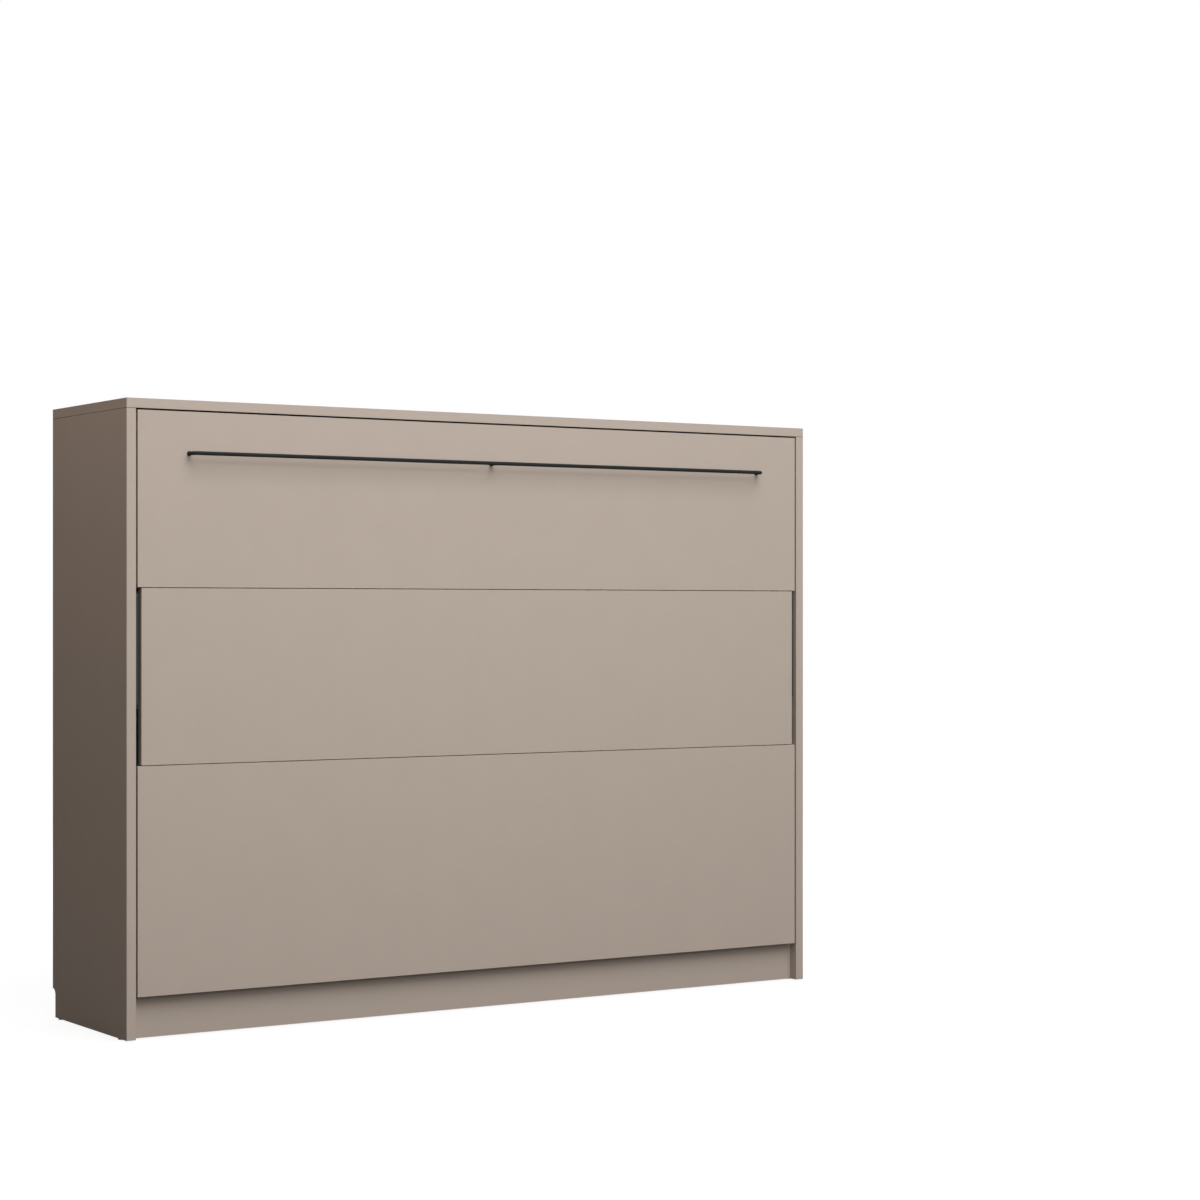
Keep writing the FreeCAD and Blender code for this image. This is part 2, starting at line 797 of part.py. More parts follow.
def mechanism_plate(side):
    name = side + "_mechanism_plate"
    corners = (
        ("mechanism_y", "mechanism_z"),
        ("mechanism_rear_y", "mechanism_z"),
        ("mechanism_rear_y", "mechanism_top_z"),
        ("mechanism_y", "mechanism_top_z"),
    )
    body = plate(name + "_blank", "YZ_Plane", corners, "mechanism_plate")
    round_edges(body, name + "_corners", edge_along(0, corners), "mechanism_corner")
    pierce(
        body,
        name + "_holes",
        "YZ_Plane",
        (
            ("pivot_y", "pivot_height", "pivot_pin + 2 * fixed_clearance"),
            ("upper_stud_y", "upper_stud_z", "stud + 2 * fixed_clearance"),
        ),
    )
    bind(body, {"Placement.Base.x": low_x(side, "mechanism_half", "mechanism_plate")})
    keep(cut(name, body, [screw_holes]))


def stepped_stud(name, root, shoulder_end, end):
    """A stud along +X from zero: a round bar with a shoulder between its root and the eye it carries."""
    bar = rod(name + "_bar", "x", ("0", "0", "0"), end, "stud")
    length = f"{shoulder_end} - ({root})"
    shoulder = rod(name + "_shoulder", "x", (root, "0", "0"), length, "stud_shoulder")
    return fuse(name, [bar, shoulder])


def pivots_and_studs():
    for side in SIDES:
        mechanism_plate(side)
    pin_length = "inner_half - rail_inner_half - tube_wall"
    pin = rod("pivot_pin_template", "x", ("0", "0", "0"), pin_length, "pivot_pin")
    frames = on_both_sides("inner_half", "pivot_y", "pivot_height", TURN_IN)
    keep(copies("pivot_pins", pin, frames))
    eye_gap = "spring_eye_width / 2 + stud_side_play"
    upper = stepped_stud(
        "upper_stud_template",
        "mechanism_plate",
        f"inner_half - spring_half - ({eye_gap})",
        f"inner_half - spring_half + {eye_gap} + stud_end",
    )
    frames = on_both_sides("inner_half", "upper_stud_y", "upper_stud_z", TURN_IN)
    keep(copies("upper_spring_studs", upper, frames))
    lower = stepped_stud(
        "lower_stud_template",
        "arm_plate",
        f"spring_half - frame_half - ({eye_gap})",
        f"spring_half - frame_half + {eye_gap} + stud_end",
    )
    frames = on_both_sides("frame_half", "lower_stud_y", "lower_stud_z", TURN_OUT)
    keep(copies("lower_spring_studs", lower, frames))


def arm_plate(side):
    """A plate on the outside of a frame rail: it takes the pivot bush and, at its heel, the spring."""
    name = side + "_arm_plate"
    corners = (
        ("arm_y", "arm_z"),
        ("arm_rear_y", "arm_z"),
        ("arm_rear_y", "arm_heel_z"),
        ("arm_neck_y", "arm_slope_z"),
        ("arm_neck_y", "arm_top_z"),
        ("arm_y", "arm_top_z"),
    )
    body = plate(name, "YZ_Plane", corners, "arm_plate")
    round_edges(body, name + "_corners", edge_along(0, corners), "arm_corner")
    holes = [
        ("pivot_y", "pivot_height", "bush + 2 * fixed_clearance"),
        ("lower_stud_y", "lower_stud_z", "stud + 2 * fixed_clearance"),
    ]
    holes += [("arm_bolt_y", z, "frame_bolt + 2 * screw_clearance") for z in arm_bolt_rows()]
    pierce(body, name + "_holes", "YZ_Plane", holes)
    bind(body, {"Placement.Base.x": low_x(side, "frame_half", "arm_plate")})
    keep(body)


def arm_bolt_rows():
    return (
        "arm_z + 2 * frame_bolt_inset",
        "(arm_z + pivot_height) / 2",
        "arm_top_z - frame_bolt_inset",
    )


# Front panels and handle


def panel_screw_rows():
    """Heights of the screws that hold the panels: two rows in each panel."""
    rows = []
    for low, height in (
        ("bottom_panel_z", "bottom_panel_height"),
        ("middle_panel_z", "middle_panel_height"),
        ("top_panel_z", "top_panel_height"),
    ):
        rows += [f"{low} + panel_screw_edge", f"{low} + {height} - panel_screw_edge"]
    return rows


def panel_screw_cutters(name, x, depth):
    """Holes along Y for one column of panel screws, from behind a tube of that depth into the panels."""
    return [
        rod(
            f"{name}_screw_hole_{number}",
            "y",
            (x, "panel_rear_y - panel_screw_bite - screw_clearance", z),
            f"panel_screw_bite + screw_clearance + {depth} + overrun",
            "panel_screw + 2 * screw_clearance",
        )
        for number, z in enumerate(panel_screw_rows())
    ]


PANEL_SCREW_COLUMNS = (
    ("-(frame_half - rail_width / 2)", "rail_depth"),
    ("-post_offset", "post_depth"),
    ("post_offset", "post_depth"),
    ("frame_half - rail_width / 2", "rail_depth"),
)


def handle_screw_holes():
    return [
        rod(
            f"handle_screw_hole_{number}",
            "y",
            (x, "panel_y - handle_screw_bite - screw_clearance", "handle_z"),
            "handle_screw_bite + screw_clearance + panel_thickness + overrun",
            "handle_screw + 2 * screw_clearance",
        )
        for number, x in enumerate(handle_legs())
    ]


def handle_legs():
    return ("-handle_half_span", "0", "handle_half_span")


def front_panels():
    columns = [
        cutter
        for number, (x, depth) in enumerate(PANEL_SCREW_COLUMNS)
        for cutter in panel_screw_cutters(f"panel_column_{number}", x, depth)
    ]
    top_cutters = columns + handle_screw_holes()
    rows = (
        ("top_front_panel", "panel_half", "top_panel_z", "top_panel_height", top_cutters),
        ("middle_front_panel", "middle_panel_half", "middle_panel_z", "middle_panel_height", columns),
        ("bottom_front_panel", "panel_half", "bottom_panel_z", "bottom_panel_height", columns),
    )
    for name, half, low, height, cutters in rows:
        extent = (f"2 * {half}", "panel_thickness", height)
        board = block(name + "_plain", (f"-{half}", "panel_y", low), extent)
        keep(cut(name, board, cutters))
    keep(panel_screws())


def panel_screws():
    """Screws from behind the tubes into the panels: long ones in the rails, short ones in the posts."""
    shapes = []
    for number, (x, depth) in enumerate(PANEL_SCREW_COLUMNS):
        screw = headed_screw(
            f"panel_screw_{number}",
            "panel_screw",
            "panel_screw_head",
            "panel_screw_head_height",
            f"{depth} + panel_screw_bite",
        )
        frames = [frame_at(x, f"frame_y + {depth}", z, SHANK_TO["-y"]) for z in panel_screw_rows()]
        shapes.append(copies(f"panel_screw_column_{number}", screw, frames).Shape)
    group = doc.addObject("Part::Feature", "panel_screws")
    group.Shape = Part.makeCompound([solid for shape in shapes for solid in shape.Solids])
    return group


def handle():
    bar = bent_rod("handle_blank", "handle_half_span", "handle_leg", "handle_bend", "handle_rod")
    place(bar, ("0", "handle_y", "handle_z"))
    holes = handle_bores("handle_bar", ("-handle_half_span", "handle_half_span"))
    keep(cut("handle_bar", bar, holes))
    start = ("0", "handle_y + saddle_trim", "handle_z")
    post = rod("centre_post_blank", "y", start, "handle_leg - saddle_trim", "handle_rod")
    saddle = rod(
        "centre_post_saddle",
        "x",
        ("-handle_rod", "handle_y", "handle_z"),
        "2 * handle_rod",
        "handle_rod + 2 * fixed_clearance",
    )
    keep(cut("handle_centre_post", post, [saddle] + handle_bores("handle_centre_post", ("0",))))
    ring = rod("collar_blank", "y", ("0", "-collar_thickness", "0"), "collar_thickness", "collar")
    bore = rod(
        "collar_bore",
        "y",
        ("0", "-collar_thickness - overrun", "0"),
        "collar_thickness + 2 * overrun",
        "handle_rod + 2 * fixed_clearance",
    )
    collar = cut("collar_template", ring, [bore])
    seats = [frame_at(x, "panel_y", "handle_z") for x in handle_legs()]
    keep(copies("handle_collars", collar, seats))
    screw = headed_screw(
        "handle_screw_template",
        "handle_screw",
        "handle_screw_head",
        "handle_screw_head_height",
        "panel_thickness + handle_screw_bite",
    )
    frames = [frame_at(x, "panel_rear_y", "handle_z", SHANK_TO["-y"]) for x in handle_legs()]
    keep(copies("handle_screws", screw, frames))


def handle_bores(name, columns):
    """Blind screw holes in the ends of the handle's legs."""
    return [
        rod(
            f"{name}_bore_{number}",
            "y",
            (x, "panel_y - handle_screw_bite - screw_clearance", "handle_z"),
            "handle_screw_bite + screw_clearance + overrun",
            "handle_screw + 2 * screw_clearance",
        )
        for number, x in enumerate(columns)
    ]


# Bed frame


def tube(name, corner, extent, open_axis):
    """A rectangular steel tube, open at both ends along one axis."""
    outer = block(name + "_outer", corner, extent)
    hollow_corner = [f"{low} + tube_wall" for low in corner]
    hollow_extent = [f"{size} - 2 * tube_wall" for size in extent]
    hollow_corner[open_axis] = f"{corner[open_axis]} - overrun"
    hollow_extent[open_axis] = f"{extent[open_axis]} + 2 * overrun"
    return cut(name + "_tube", outer, [block(name + "_hollow", hollow_corner, hollow_extent)])


def frame_bolt_frames():
    """Bolts from outside into the rails: the depth and height of each, and what it clamps."""
    rows = [("arm_bolt_y", z, "arm_plate") for z in arm_bolt_rows()]
    rows += [("channel_bolt_y", z, "channel_sheet") for z in channel_bolt_rows()]
    return rows


def channel_bolt_rows():
    return (
        "channel_z + frame_bolt_inset + frame_bolt_head",
        "channel_z + channel_length / 2",
        "leg_z - leg_width",
    )


def side_rail(side, number):
    name = side + "_frame_rail"
    low = low_x(side, "rail_inner_half", "rail_width")
    rail = tube(
        name,
        (low, "frame_y", "frame_z"),
        ("rail_width", "rail_depth", "frame_top_z - frame_z"),
        2,
    )
    cutters = panel_screw_cutters(name, PANEL_SCREW_COLUMNS[number][0], "rail_depth")
    cutters.append(
        rod(
            name + "_bush_hole",
            "x",
            (f"{low} - overrun", "pivot_y", "pivot_height"),
            "rail_width + 2 * overrun",
            "bush + 2 * fixed_clearance",
        )
    )
    wall_low = low_x(side, "frame_half - frame_bolt_bite", "frame_bolt_bite + overrun")
    cutters += [
        rod(
            f"{name}_bolt_hole_{row}",
            "x",
            (wall_low, y, z),
            "frame_bolt_bite + overrun",
            "frame_bolt + 2 * screw_clearance",
        )
        for row, (y, z, _) in enumerate(frame_bolt_frames())
    ]
    keep(cut(name, rail, cutters))


def bed_frame():
    for side, number in (("left", 0), ("right", 3)):
        side_rail(side, number)
    long_extent = ("2 * rail_inner_half", "rail_depth", "rail_width")
    for name, low in (("upper_frame_rail", "frame_top_z - rail_width"), ("lower_frame_rail", "frame_z")):
        rail = tube(name, ("-rail_inner_half", "frame_y", low), long_extent, 0)
        rail.Label = name
        keep(rail)
    beam = tube(
        "frame_centre_beam",
        ("-rail_inner_half", "beam_y", "beam_z"),
        ("2 * rail_inner_half", "beam_depth", "beam_height"),
        0,
    )
    beam.Label = "frame_centre_beam"
    keep(beam)
    for side, number in (("left", 1), ("right", 2)):
        name = side + "_frame_post"
        post = tube(
            name,
            (f"{mirror_x(side, 'post_offset')} - post_width / 2", "frame_y", "frame_z + rail_width"),
            ("post_width", "post_depth", "frame_top_z - frame_z - 2 * rail_width"),
            2,
        )
        keep(cut(name, post, panel_screw_cutters(name, PANEL_SCREW_COLUMNS[number][0], "post_depth")))
    sleeve = rod("bush_sleeve", "x", ("0", "0", "0"), "rail_width + arm_plate", "bush")
    bore = rod(
        "bush_bore",
        "x",
        ("-overrun", "0", "0"),
        "rail_width + arm_plate + 2 * overrun",
        "pivot_pin + 2 * running_clearance",
    )
    bush = cut("bush_template", sleeve, [bore])
    seats = [
        frame_at(low_x(side, "rail_inner_half", "rail_width + arm_plate"), "pivot_y", "pivot_height")
        for side in SIDES
    ]
    keep(copies("pivot_bushes", bush, seats))
    bolt = headed_screw(
        "frame_bolt_template",
        "frame_bolt",
        "frame_bolt_head",
        "frame_bolt_head_height",
        "frame_bolt_length",
    )
    frames = [
        frame_at(mirror_x(side, f"frame_half + {clamped}"), y, z, SHANK_INWARD[side])
        for side in SIDES
        for y, z, clamped in frame_bolt_frames()
    ]
    keep(copies("frame_bolts", bolt, frames))


# Slats


def slat(name, low_z):
    """A bowed slat: a ring sector whose crown faces the mattress, in the middle of the bed."""
    outer = doc.addObject("Part::Cylinder", name + "_outer")
    inner = doc.addObject("Part::Cylinder", name + "_inner")
    upright = Rotation(Vector(0, 1, 0), Vector(0, 0, 1), Vector(1, 0, 0), "XYZ")
    for piece, radius in ((outer, "slat_curve"), (inner, "slat_curve - slat_thickness")):
        piece.Placement = Placement(Vector(), upright)
        bind(piece, {"Radius": radius, "Height": "slat_width", "Angle": "slat_sweep"})
        place(piece, ("-slat_width / 2", "0", "0"))
    sector = cut(name, outer, [inner])
    sector.Placement = Placement(Vector(), Rotation(Vector(1, 0, 0), -1))
    bind(sector, {"Placement.Rotation.Angle": "-slat_sweep / 2"})
    crown_y = "slat_tip_y + slat_thickness + slat_bow"
    place(sector, ("0", f"{crown_y} - slat_curve", f"{low_z} + slat_length / 2"))
    return sector


def slat_columns():
    first = "-(slat_columns - 1) / 2 * slat_pitch"
    return [f"{first} + {index} * slat_pitch" for index in range(int(value("slat_columns")))]


def slats():
    columns = [frame_at(x, "0", "0") for x in slat_columns()]
    for name, low_z in (("lower_slats", "lower_slat_z"), ("upper_slats", "upper_slat_z")):
        keep(copies(name, slat(name + "_template", low_z), columns))
    shell = block(
        "holder_shell",
        ("-holder_width / 2", "0", "0"),
        ("holder_width", "holder_height", "holder_length"),
    )
    pocket = block(
        "holder_pocket_cut",
        ("-slat_width / 2 - holder_play", "holder_wall", "holder_wall"),
        ("slat_width + 2 * holder_play", "holder_pocket", "holder_length"),
    )
    holder = cut("holder_template", shell, [pocket])
    upside_down = Rotation(Vector(0, 1, 0), 180)
    middle = "beam_z + beam_height / 2"
    rows = (
        ("frame_z", Rotation()),
        (middle, upside_down),
        (middle, Rotation()),
        ("frame_top_z", upside_down),
    )
    frames = [
        frame_at(x, "frame_rear_y", holder_z(z, turn), turn) for z, turn in rows for x in slat_columns()
    ]
    keep(copies("slat_holders", holder, frames))


def holder_z(edge, turn):
    """A holder's closed end stands a little inside the edge that it faces away from."""
    return f"{edge} - holder_edge_inset" if turn.Angle else f"{edge} + holder_edge_inset"


# Mattress and what holds it


def mattress():
    corners = (
        ("-mattress_half", "mattress_z"),
        ("mattress_half", "mattress_z"),
        ("mattress_half", "mattress_top_z"),
        ("-mattress_half", "mattress_top_z"),
    )
    body = plate("mattress", "XZ_Plane", corners, "mattress_thickness")
    round_edges(body, "mattress_corners", edge_along(1, corners), "mattress_corner")
    flat = value("running_clearance")
    round_edges(body, "mattress_rims", lambda edge: edge.BoundBox.YLength < flat, "mattress_edge")
    place(body, ("0", "mattress_rear_y", "0"))
    keep(body)


def straps():
    """Two webbing straps round the mattress, their feet flat on the long frame rails, buckles behind."""
    foot_rear = "frame_rear_y + strap_thickness"
    low_outer = "strap_low_z - strap_thickness"
    high_outer = "strap_high_z + strap_thickness"
    rear_outer = "strap_rear_y + strap_thickness"
    corners = (
        ("frame_rear_y", f"{low_outer} - strap_foot"),
        (foot_rear, f"{low_outer} - strap_foot"),
        (foot_rear, low_outer),
        (rear_outer, low_outer),
        (rear_outer, high_outer),
        (foot_rear, high_outer),
        (foot_rear, f"{high_outer} + strap_foot"),
        ("frame_rear_y", f"{high_outer} + strap_foot"),
        ("frame_rear_y", "strap_high_z"),
        ("strap_rear_y", "strap_high_z"),
        ("strap_rear_y", "strap_low_z"),
        ("frame_rear_y", "strap_low_z"),
    )
    body = plate("strap_template", "YZ_Plane", corners, "strap_width")
    outer = edge_along(0, [(rear_outer, low_outer), (rear_outer, high_outer)])
    round_edges(body, "strap_outer_bends", outer, "mattress_edge + soft_clearance + strap_thickness")
    inner = edge_along(0, [("strap_rear_y", "strap_low_z"), ("strap_rear_y", "strap_high_z")])
    round_edges(body, "strap_inner_bends", inner, "mattress_edge + soft_clearance")
    frames = [
        frame_at(f"{mirror_x(side, 'strap_offset')} - strap_width / 2", "0", "0") for side in SIDES
    ]
    keep(copies("mattress_straps", body, frames))
    buckle_corners = [
        (f"{a} * buckle_width / 2", f"{b} * buckle_height / 2")
        for a, b in ((-1, -1), (1, -1), (1, 1), (-1, 1))
    ]
    buckle = plate("buckle_template", "XZ_Plane", buckle_corners, "buckle_thickness")
    rear_face = value("-buckle_thickness")
    round_edges(buckle, "buckle_rims", lambda edge: edge.BoundBox.YMax < rear_face / 2, "buckle_corner")
    middle = "(mattress_z + mattress_top_z) / 2"
    seats = on_both_sides("strap_offset", rear_outer, middle, TURN_ROUND)
    keep(copies("strap_buckles", buckle, seats))


def hoops():
    """Two bent rods on the lower frame rail, on which the mattress stands when the bed is closed."""
    hoop = bent_rod("hoop_template", "hoop_half_span", "hoop_reach", "hoop_bend", "hoop_rod")
    frames = on_both_sides("hoop_centre", "frame_rear_y + hoop_reach", "hoop_z", TURN_ROUND)
    keep(copies("mattress_hoops", hoop, frames))


# Legs and gas springs


def leg(side):
    """A flat bar that hangs beside the middle panel: round at its pivot, with a rubber foot below."""
    name = side + "_leg"
    low = low_x(side, "leg_half", "leg_thickness")
    bar_length = "leg_drop - leg_foot_height"
    bar = block(
        name + "_bar",
        (low, "leg_y - leg_width / 2", f"leg_z - ({bar_length})"),
        ("leg_thickness", "leg_width", bar_length),
    )
    crown = rod(name + "_crown", "x", (low, "leg_y", "leg_z"), "leg_thickness", "leg_width")
    blank = fuse(name + "_blank", [bar, crown])
    eye = rod(
        name + "_eye",
        "x",
        (f"{low} - overrun", "leg_y", "leg_z"),
        "leg_thickness + 2 * overrun",
        "leg_pin + 2 * running_clearance",
    )
    keep(cut(name, blank, [eye]))
    corners = [
        (f"leg_y + {a} * leg_width / 2", z)
        for a, z in (
            (-1, "leg_z - leg_drop"),
            (1, "leg_z - leg_drop"),
            (1, "leg_z - leg_drop + leg_foot_height"),
            (-1, "leg_z - leg_drop + leg_foot_height"),
        )
    ]
    foot = plate(name + "_foot", "YZ_Plane", corners, "leg_thickness")
    round_edges(foot, name + "_foot_toes", edge_along(0, corners[:2]), "leg_foot_corner")
    bind(foot, {"Placement.Base.x": low})
    keep(foot)


def leg_channel(side):
    """A folded steel channel on the frame rail, open to the front: its outer flange carries the leg."""
    name = side + "_leg_channel"
    depth = "channel_rear_y - channel_base_y"
    base = block(
        name + "_base",
        (low_x(side, "frame_half", "channel_sheet"), "channel_base_y", "channel_z"),
        ("channel_sheet", depth, "channel_length"),
    )
    span = "channel_outer_half - frame_half"
    web = block(
        name + "_web",
        (low_x(side, "frame_half", f"({span})"), "channel_rear_y - channel_sheet", "channel_z"),
        (span, "channel_sheet", "channel_length"),
    )
    flange = block(
        name + "_flange",
        (low_x(side, "channel_half", "channel_sheet"), "channel_y", "channel_z"),
        ("channel_sheet", "channel_rear_y - channel_y", "channel_length"),
    )
    blank = fuse(name + "_blank", [base, web, flange])
    cutters = [
        rod(
            name + "_pin_hole",
            "x",
            (low_x(side, "channel_half - overrun", "channel_sheet + 2 * overrun"), "leg_y", "leg_z"),
            "channel_sheet + 2 * overrun",
            "leg_pin + 2 * fixed_clearance",
        )
    ]
    cutters += [
        rod(
            f"{name}_bolt_hole_{number}",
            "x",
            (low_x(side, "frame_half - overrun", "channel_sheet + 2 * overrun"), "channel_bolt_y", z),
            "channel_sheet + 2 * overrun",
            "frame_bolt + 2 * screw_clearance",
        )
        for number, z in enumerate(channel_bolt_rows())
    ]
    keep(cut(name, blank, cutters))


def leg_pins():
    """Rivets that hang the legs: a head inside the channel and a thin head outside the leg."""
    head = "leg_pin_head_height"
    grip = "channel_sheet + leg_side_play + leg_thickness + leg_side_play"
    shank = rod("leg_pin_shank", "x", ("0", "0", "0"), f"2 * {head} + {grip}", "leg_pin")
    inside = rod("leg_pin_inner_head", "x", ("0", "0", "0"), head, "leg_pin_head")
    outside_start = (f"{head} + {grip}", "0", "0")
    outside = rod("leg_pin_outer_head", "x", outside_start, head, "leg_pin_head")
    pin = fuse("leg_pin_template", [shank, inside, outside])
    frames = on_both_sides(f"channel_half - {head}", "leg_y", "leg_z", TURN_OUT)
    keep(copies("leg_pivot_pins", pin, frames))


def spring_eye(name, diameter):
    eye = rod(name + "_eye", "x", ("-spring_eye_width / 2", "0", "0"), "spring_eye_width", diameter)
    hole_start = ("-spring_eye_width / 2 - overrun", "0", "0")
    hole = rod(name + "_eye_hole", "x", hole_start, "spring_eye_width + 2 * overrun", "stud_hole")
    return eye, hole


def set_spring(piece, side, y, z, tilt):
    """Turns a spring half from its own Z axis to the line of the spring, and hangs it on its stud."""
    piece.Placement = Placement(Vector(), Rotation(Vector(1, 0, 0), 1))
    bind(piece, {"Placement.Rotation.Angle": tilt})
    place(piece, (mirror_x(side, "spring_half"), y, z))
    keep(piece)


def gas_spring(side):
    name = side + "_gas_cylinder"
    eye, eye_hole = spring_eye(name, "spring_eye")
    start = ("0", "0", "spring_tube_start")
    barrel = rod(name + "_barrel", "z", start, "spring_tube_end - spring_tube_start", "spring_tube")
    bore = rod(
        name + "_bore",
        "z",
        ("0", "0", "spring_cavity_start"),
        "spring_tube_end - spring_gland - spring_cavity_start",
        "spring_bore",
    )
    gland = rod(
        name + "_gland",
        "z",
        ("0", "0", "spring_tube_end - spring_gland - overrun"),
        "spring_gland + 2 * overrun",
        "spring_rod + 2 * spring_piston_clearance",
    )
    hollow = fuse(name + "_hollow", [bore, gland])
    cylinder = cut(name, fuse(name + "_blank", [eye, barrel]), [eye_hole, hollow])
    set_spring(cylinder, side, "upper_stud_y", "upper_stud_z", "spring_tilt")

    name = side + "_gas_rod"
    eye, eye_hole = spring_eye(name, "spring_rod_eye")
    shaft = rod(name + "_shaft", "z", ("0", "0", "0"), "spring_rod_length", "spring_rod")
    piston = rod(
        name + "_piston",
        "z",
        ("0", "0", "spring_rod_length - spring_piston_thickness"),
        "spring_piston_thickness",
        "spring_bore - 2 * spring_piston_clearance",
    )
    piston_rod = cut(name, fuse(name + "_blank", [eye, shaft, piston]), [eye_hole])
    set_spring(piston_rod, side, "lower_stud_y", "lower_stud_z", "spring_tilt + 180")


# Build everything

cabinet_boards()
glide_feet()
corner_brackets()
stops()
pivots_and_studs()
front_panels()
handle()
bed_frame()
slats()
mattress()
straps()
hoops()
for bed_side in SIDES:
    arm_plate(bed_side)
    leg_channel(bed_side)
    leg(bed_side)
    gas_spring(bed_side)
leg_pins()
doc.recompute()

# Check everything, then write one file for each sub-part

for item in doc.Objects:
    if "Invalid" in item.State or "Error" in item.State:
        raise RuntimeError(f"{item.Name} failed: {item.State}")
for item in subparts:
    if item.Shape.isNull() or not item.Shape.isValid():
        raise RuntimeError(f"{item.Label} has no valid shape")

os.makedirs("parts", exist_ok=True)
for item in subparts:
    item.Shape.exportStep(f"parts/{item.Label}.step")
print(len(subparts), "sub-parts written")
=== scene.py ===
import bmesh
import bpy
import json
import math
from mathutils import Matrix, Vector
from mathutils.bvhtree import BVHTree


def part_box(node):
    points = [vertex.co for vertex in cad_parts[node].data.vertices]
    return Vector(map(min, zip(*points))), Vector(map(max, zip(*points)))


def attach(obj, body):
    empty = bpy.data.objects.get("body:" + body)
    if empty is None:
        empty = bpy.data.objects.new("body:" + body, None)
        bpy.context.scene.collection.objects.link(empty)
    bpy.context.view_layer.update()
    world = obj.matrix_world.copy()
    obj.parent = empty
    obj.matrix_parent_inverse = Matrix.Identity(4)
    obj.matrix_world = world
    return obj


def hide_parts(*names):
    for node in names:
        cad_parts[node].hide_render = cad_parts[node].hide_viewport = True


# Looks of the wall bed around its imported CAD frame. Everything is in metres, in the CAD frame.

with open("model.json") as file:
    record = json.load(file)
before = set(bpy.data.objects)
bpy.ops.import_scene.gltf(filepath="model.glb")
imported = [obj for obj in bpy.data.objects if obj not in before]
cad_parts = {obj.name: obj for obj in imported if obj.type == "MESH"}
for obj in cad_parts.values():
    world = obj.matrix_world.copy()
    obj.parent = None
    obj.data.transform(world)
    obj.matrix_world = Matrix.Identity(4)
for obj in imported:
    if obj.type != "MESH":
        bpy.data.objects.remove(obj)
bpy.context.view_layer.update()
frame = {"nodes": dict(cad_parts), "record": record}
nodes = frame["nodes"]
scene = bpy.context.scene
scene.view_settings.view_transform = "Standard"


# Node helpers


class Shader:
    """A material's node tree, with short ways to add and join nodes."""

    def __init__(self, name):
        self.material = bpy.data.materials.new(name)
        self.material.use_nodes = True
        self.tree = self.material.node_tree
        self.bsdf = self.tree.nodes["Principled BSDF"]
        self.coordinates = self.add("ShaderNodeTexCoord").outputs
        self.place = self.coordinates["Object"]

    def add(self, kind, **settings):
        node = self.tree.nodes.new(kind)
        for key, setting in settings.items():
            setattr(node, key, setting)
        return node

    def feed(self, socket, source):
        """Links a source to a socket, or writes a plain value into it."""
        if isinstance(source, bpy.types.NodeSocket):
            self.tree.links.new(source, socket)
        else:
            socket.default_value = source

    def math(self, operation, first, second=0.0):
        node = self.add("ShaderNodeMath", operation=operation)
        self.feed(node.inputs[0], first)
        self.feed(node.inputs[1], second)
        return node.outputs[0]

    def vector(self, operation, first, second):
        node = self.add("ShaderNodeVectorMath", operation=operation)
        self.feed(node.inputs[0], first)
        self.feed(node.inputs[1], second)
        return node.outputs[0]

    def split(self, vector):
        node = self.add("ShaderNodeSeparateXYZ")
        self.feed(node.inputs[0], vector)
        return node.outputs

    def stretch(self, scale):
        """The object's coordinates, scaled differently along its axes."""
        return self.vector("MULTIPLY", self.place, scale)

    def noise(self, per_metre, detail=2.0, roughness=0.5, place=None):
        """Soft noise with about so many swells to a metre."""
        node = self.add("ShaderNodeTexNoise")
        self.feed(node.inputs["Vector"], place or self.place)
        self.feed(node.inputs["Scale"], per_metre)
        self.feed(node.inputs["Detail"], detail)
        self.feed(node.inputs["Roughness"], roughness)
        return node.outputs["Fac"]

    def cells(self, per_metre, place=None):
        """A pattern with about so many cells to a metre."""
        node = self.add("ShaderNodeTexVoronoi")
        self.feed(node.inputs["Vector"], place or self.place)
        self.feed(node.inputs["Scale"], per_metre)
        return node.outputs

    def spread(self, source, span, to=(0.0, 1.0)):
        """Maps a span of values to another span, with smooth ends."""
        node = self.add("ShaderNodeMapRange", interpolation_type="SMOOTHSTEP")
        for socket, content in zip(node.inputs, (source, *span, *to)):
            self.feed(socket, content)
        return node.outputs[0]

    def mix(self, share, first, second):
        node = self.add("ShaderNodeMix", data_type="RGBA")
        self.feed(node.inputs["Factor"], share)
        self.feed(node.inputs["A"], first)
        self.feed(node.inputs["B"], second)
        return node.outputs["Result"]

    def bump(self, height, strength, depth):
        node = self.add("ShaderNodeBump")
        self.feed(node.inputs["Height"], height)
        self.feed(node.inputs["Strength"], strength)
        self.feed(node.inputs["Distance"], depth)
        return node.outputs["Normal"]

    def finish(self, **inputs):
        """Sets the surface's inputs by name and gives the material."""
        for key, source in inputs.items():
            self.feed(self.bsdf.inputs[key.replace("_", " ")], source)
        return self.material


def colour(red, green, blue):
    """A linear colour from display values of 0 to 255."""

    def linear(level):
        share = level / 255
        return share / 12.92 if share <= 0.04045 else ((share + 0.055) / 1.055) ** 2.4

    return (linear(red), linear(green), linear(blue), 1.0)


def shade(tone, share):
    """A tone made lighter or darker."""
    return tuple(channel * share for channel in tone[:3]) + (1.0,)


# Materials

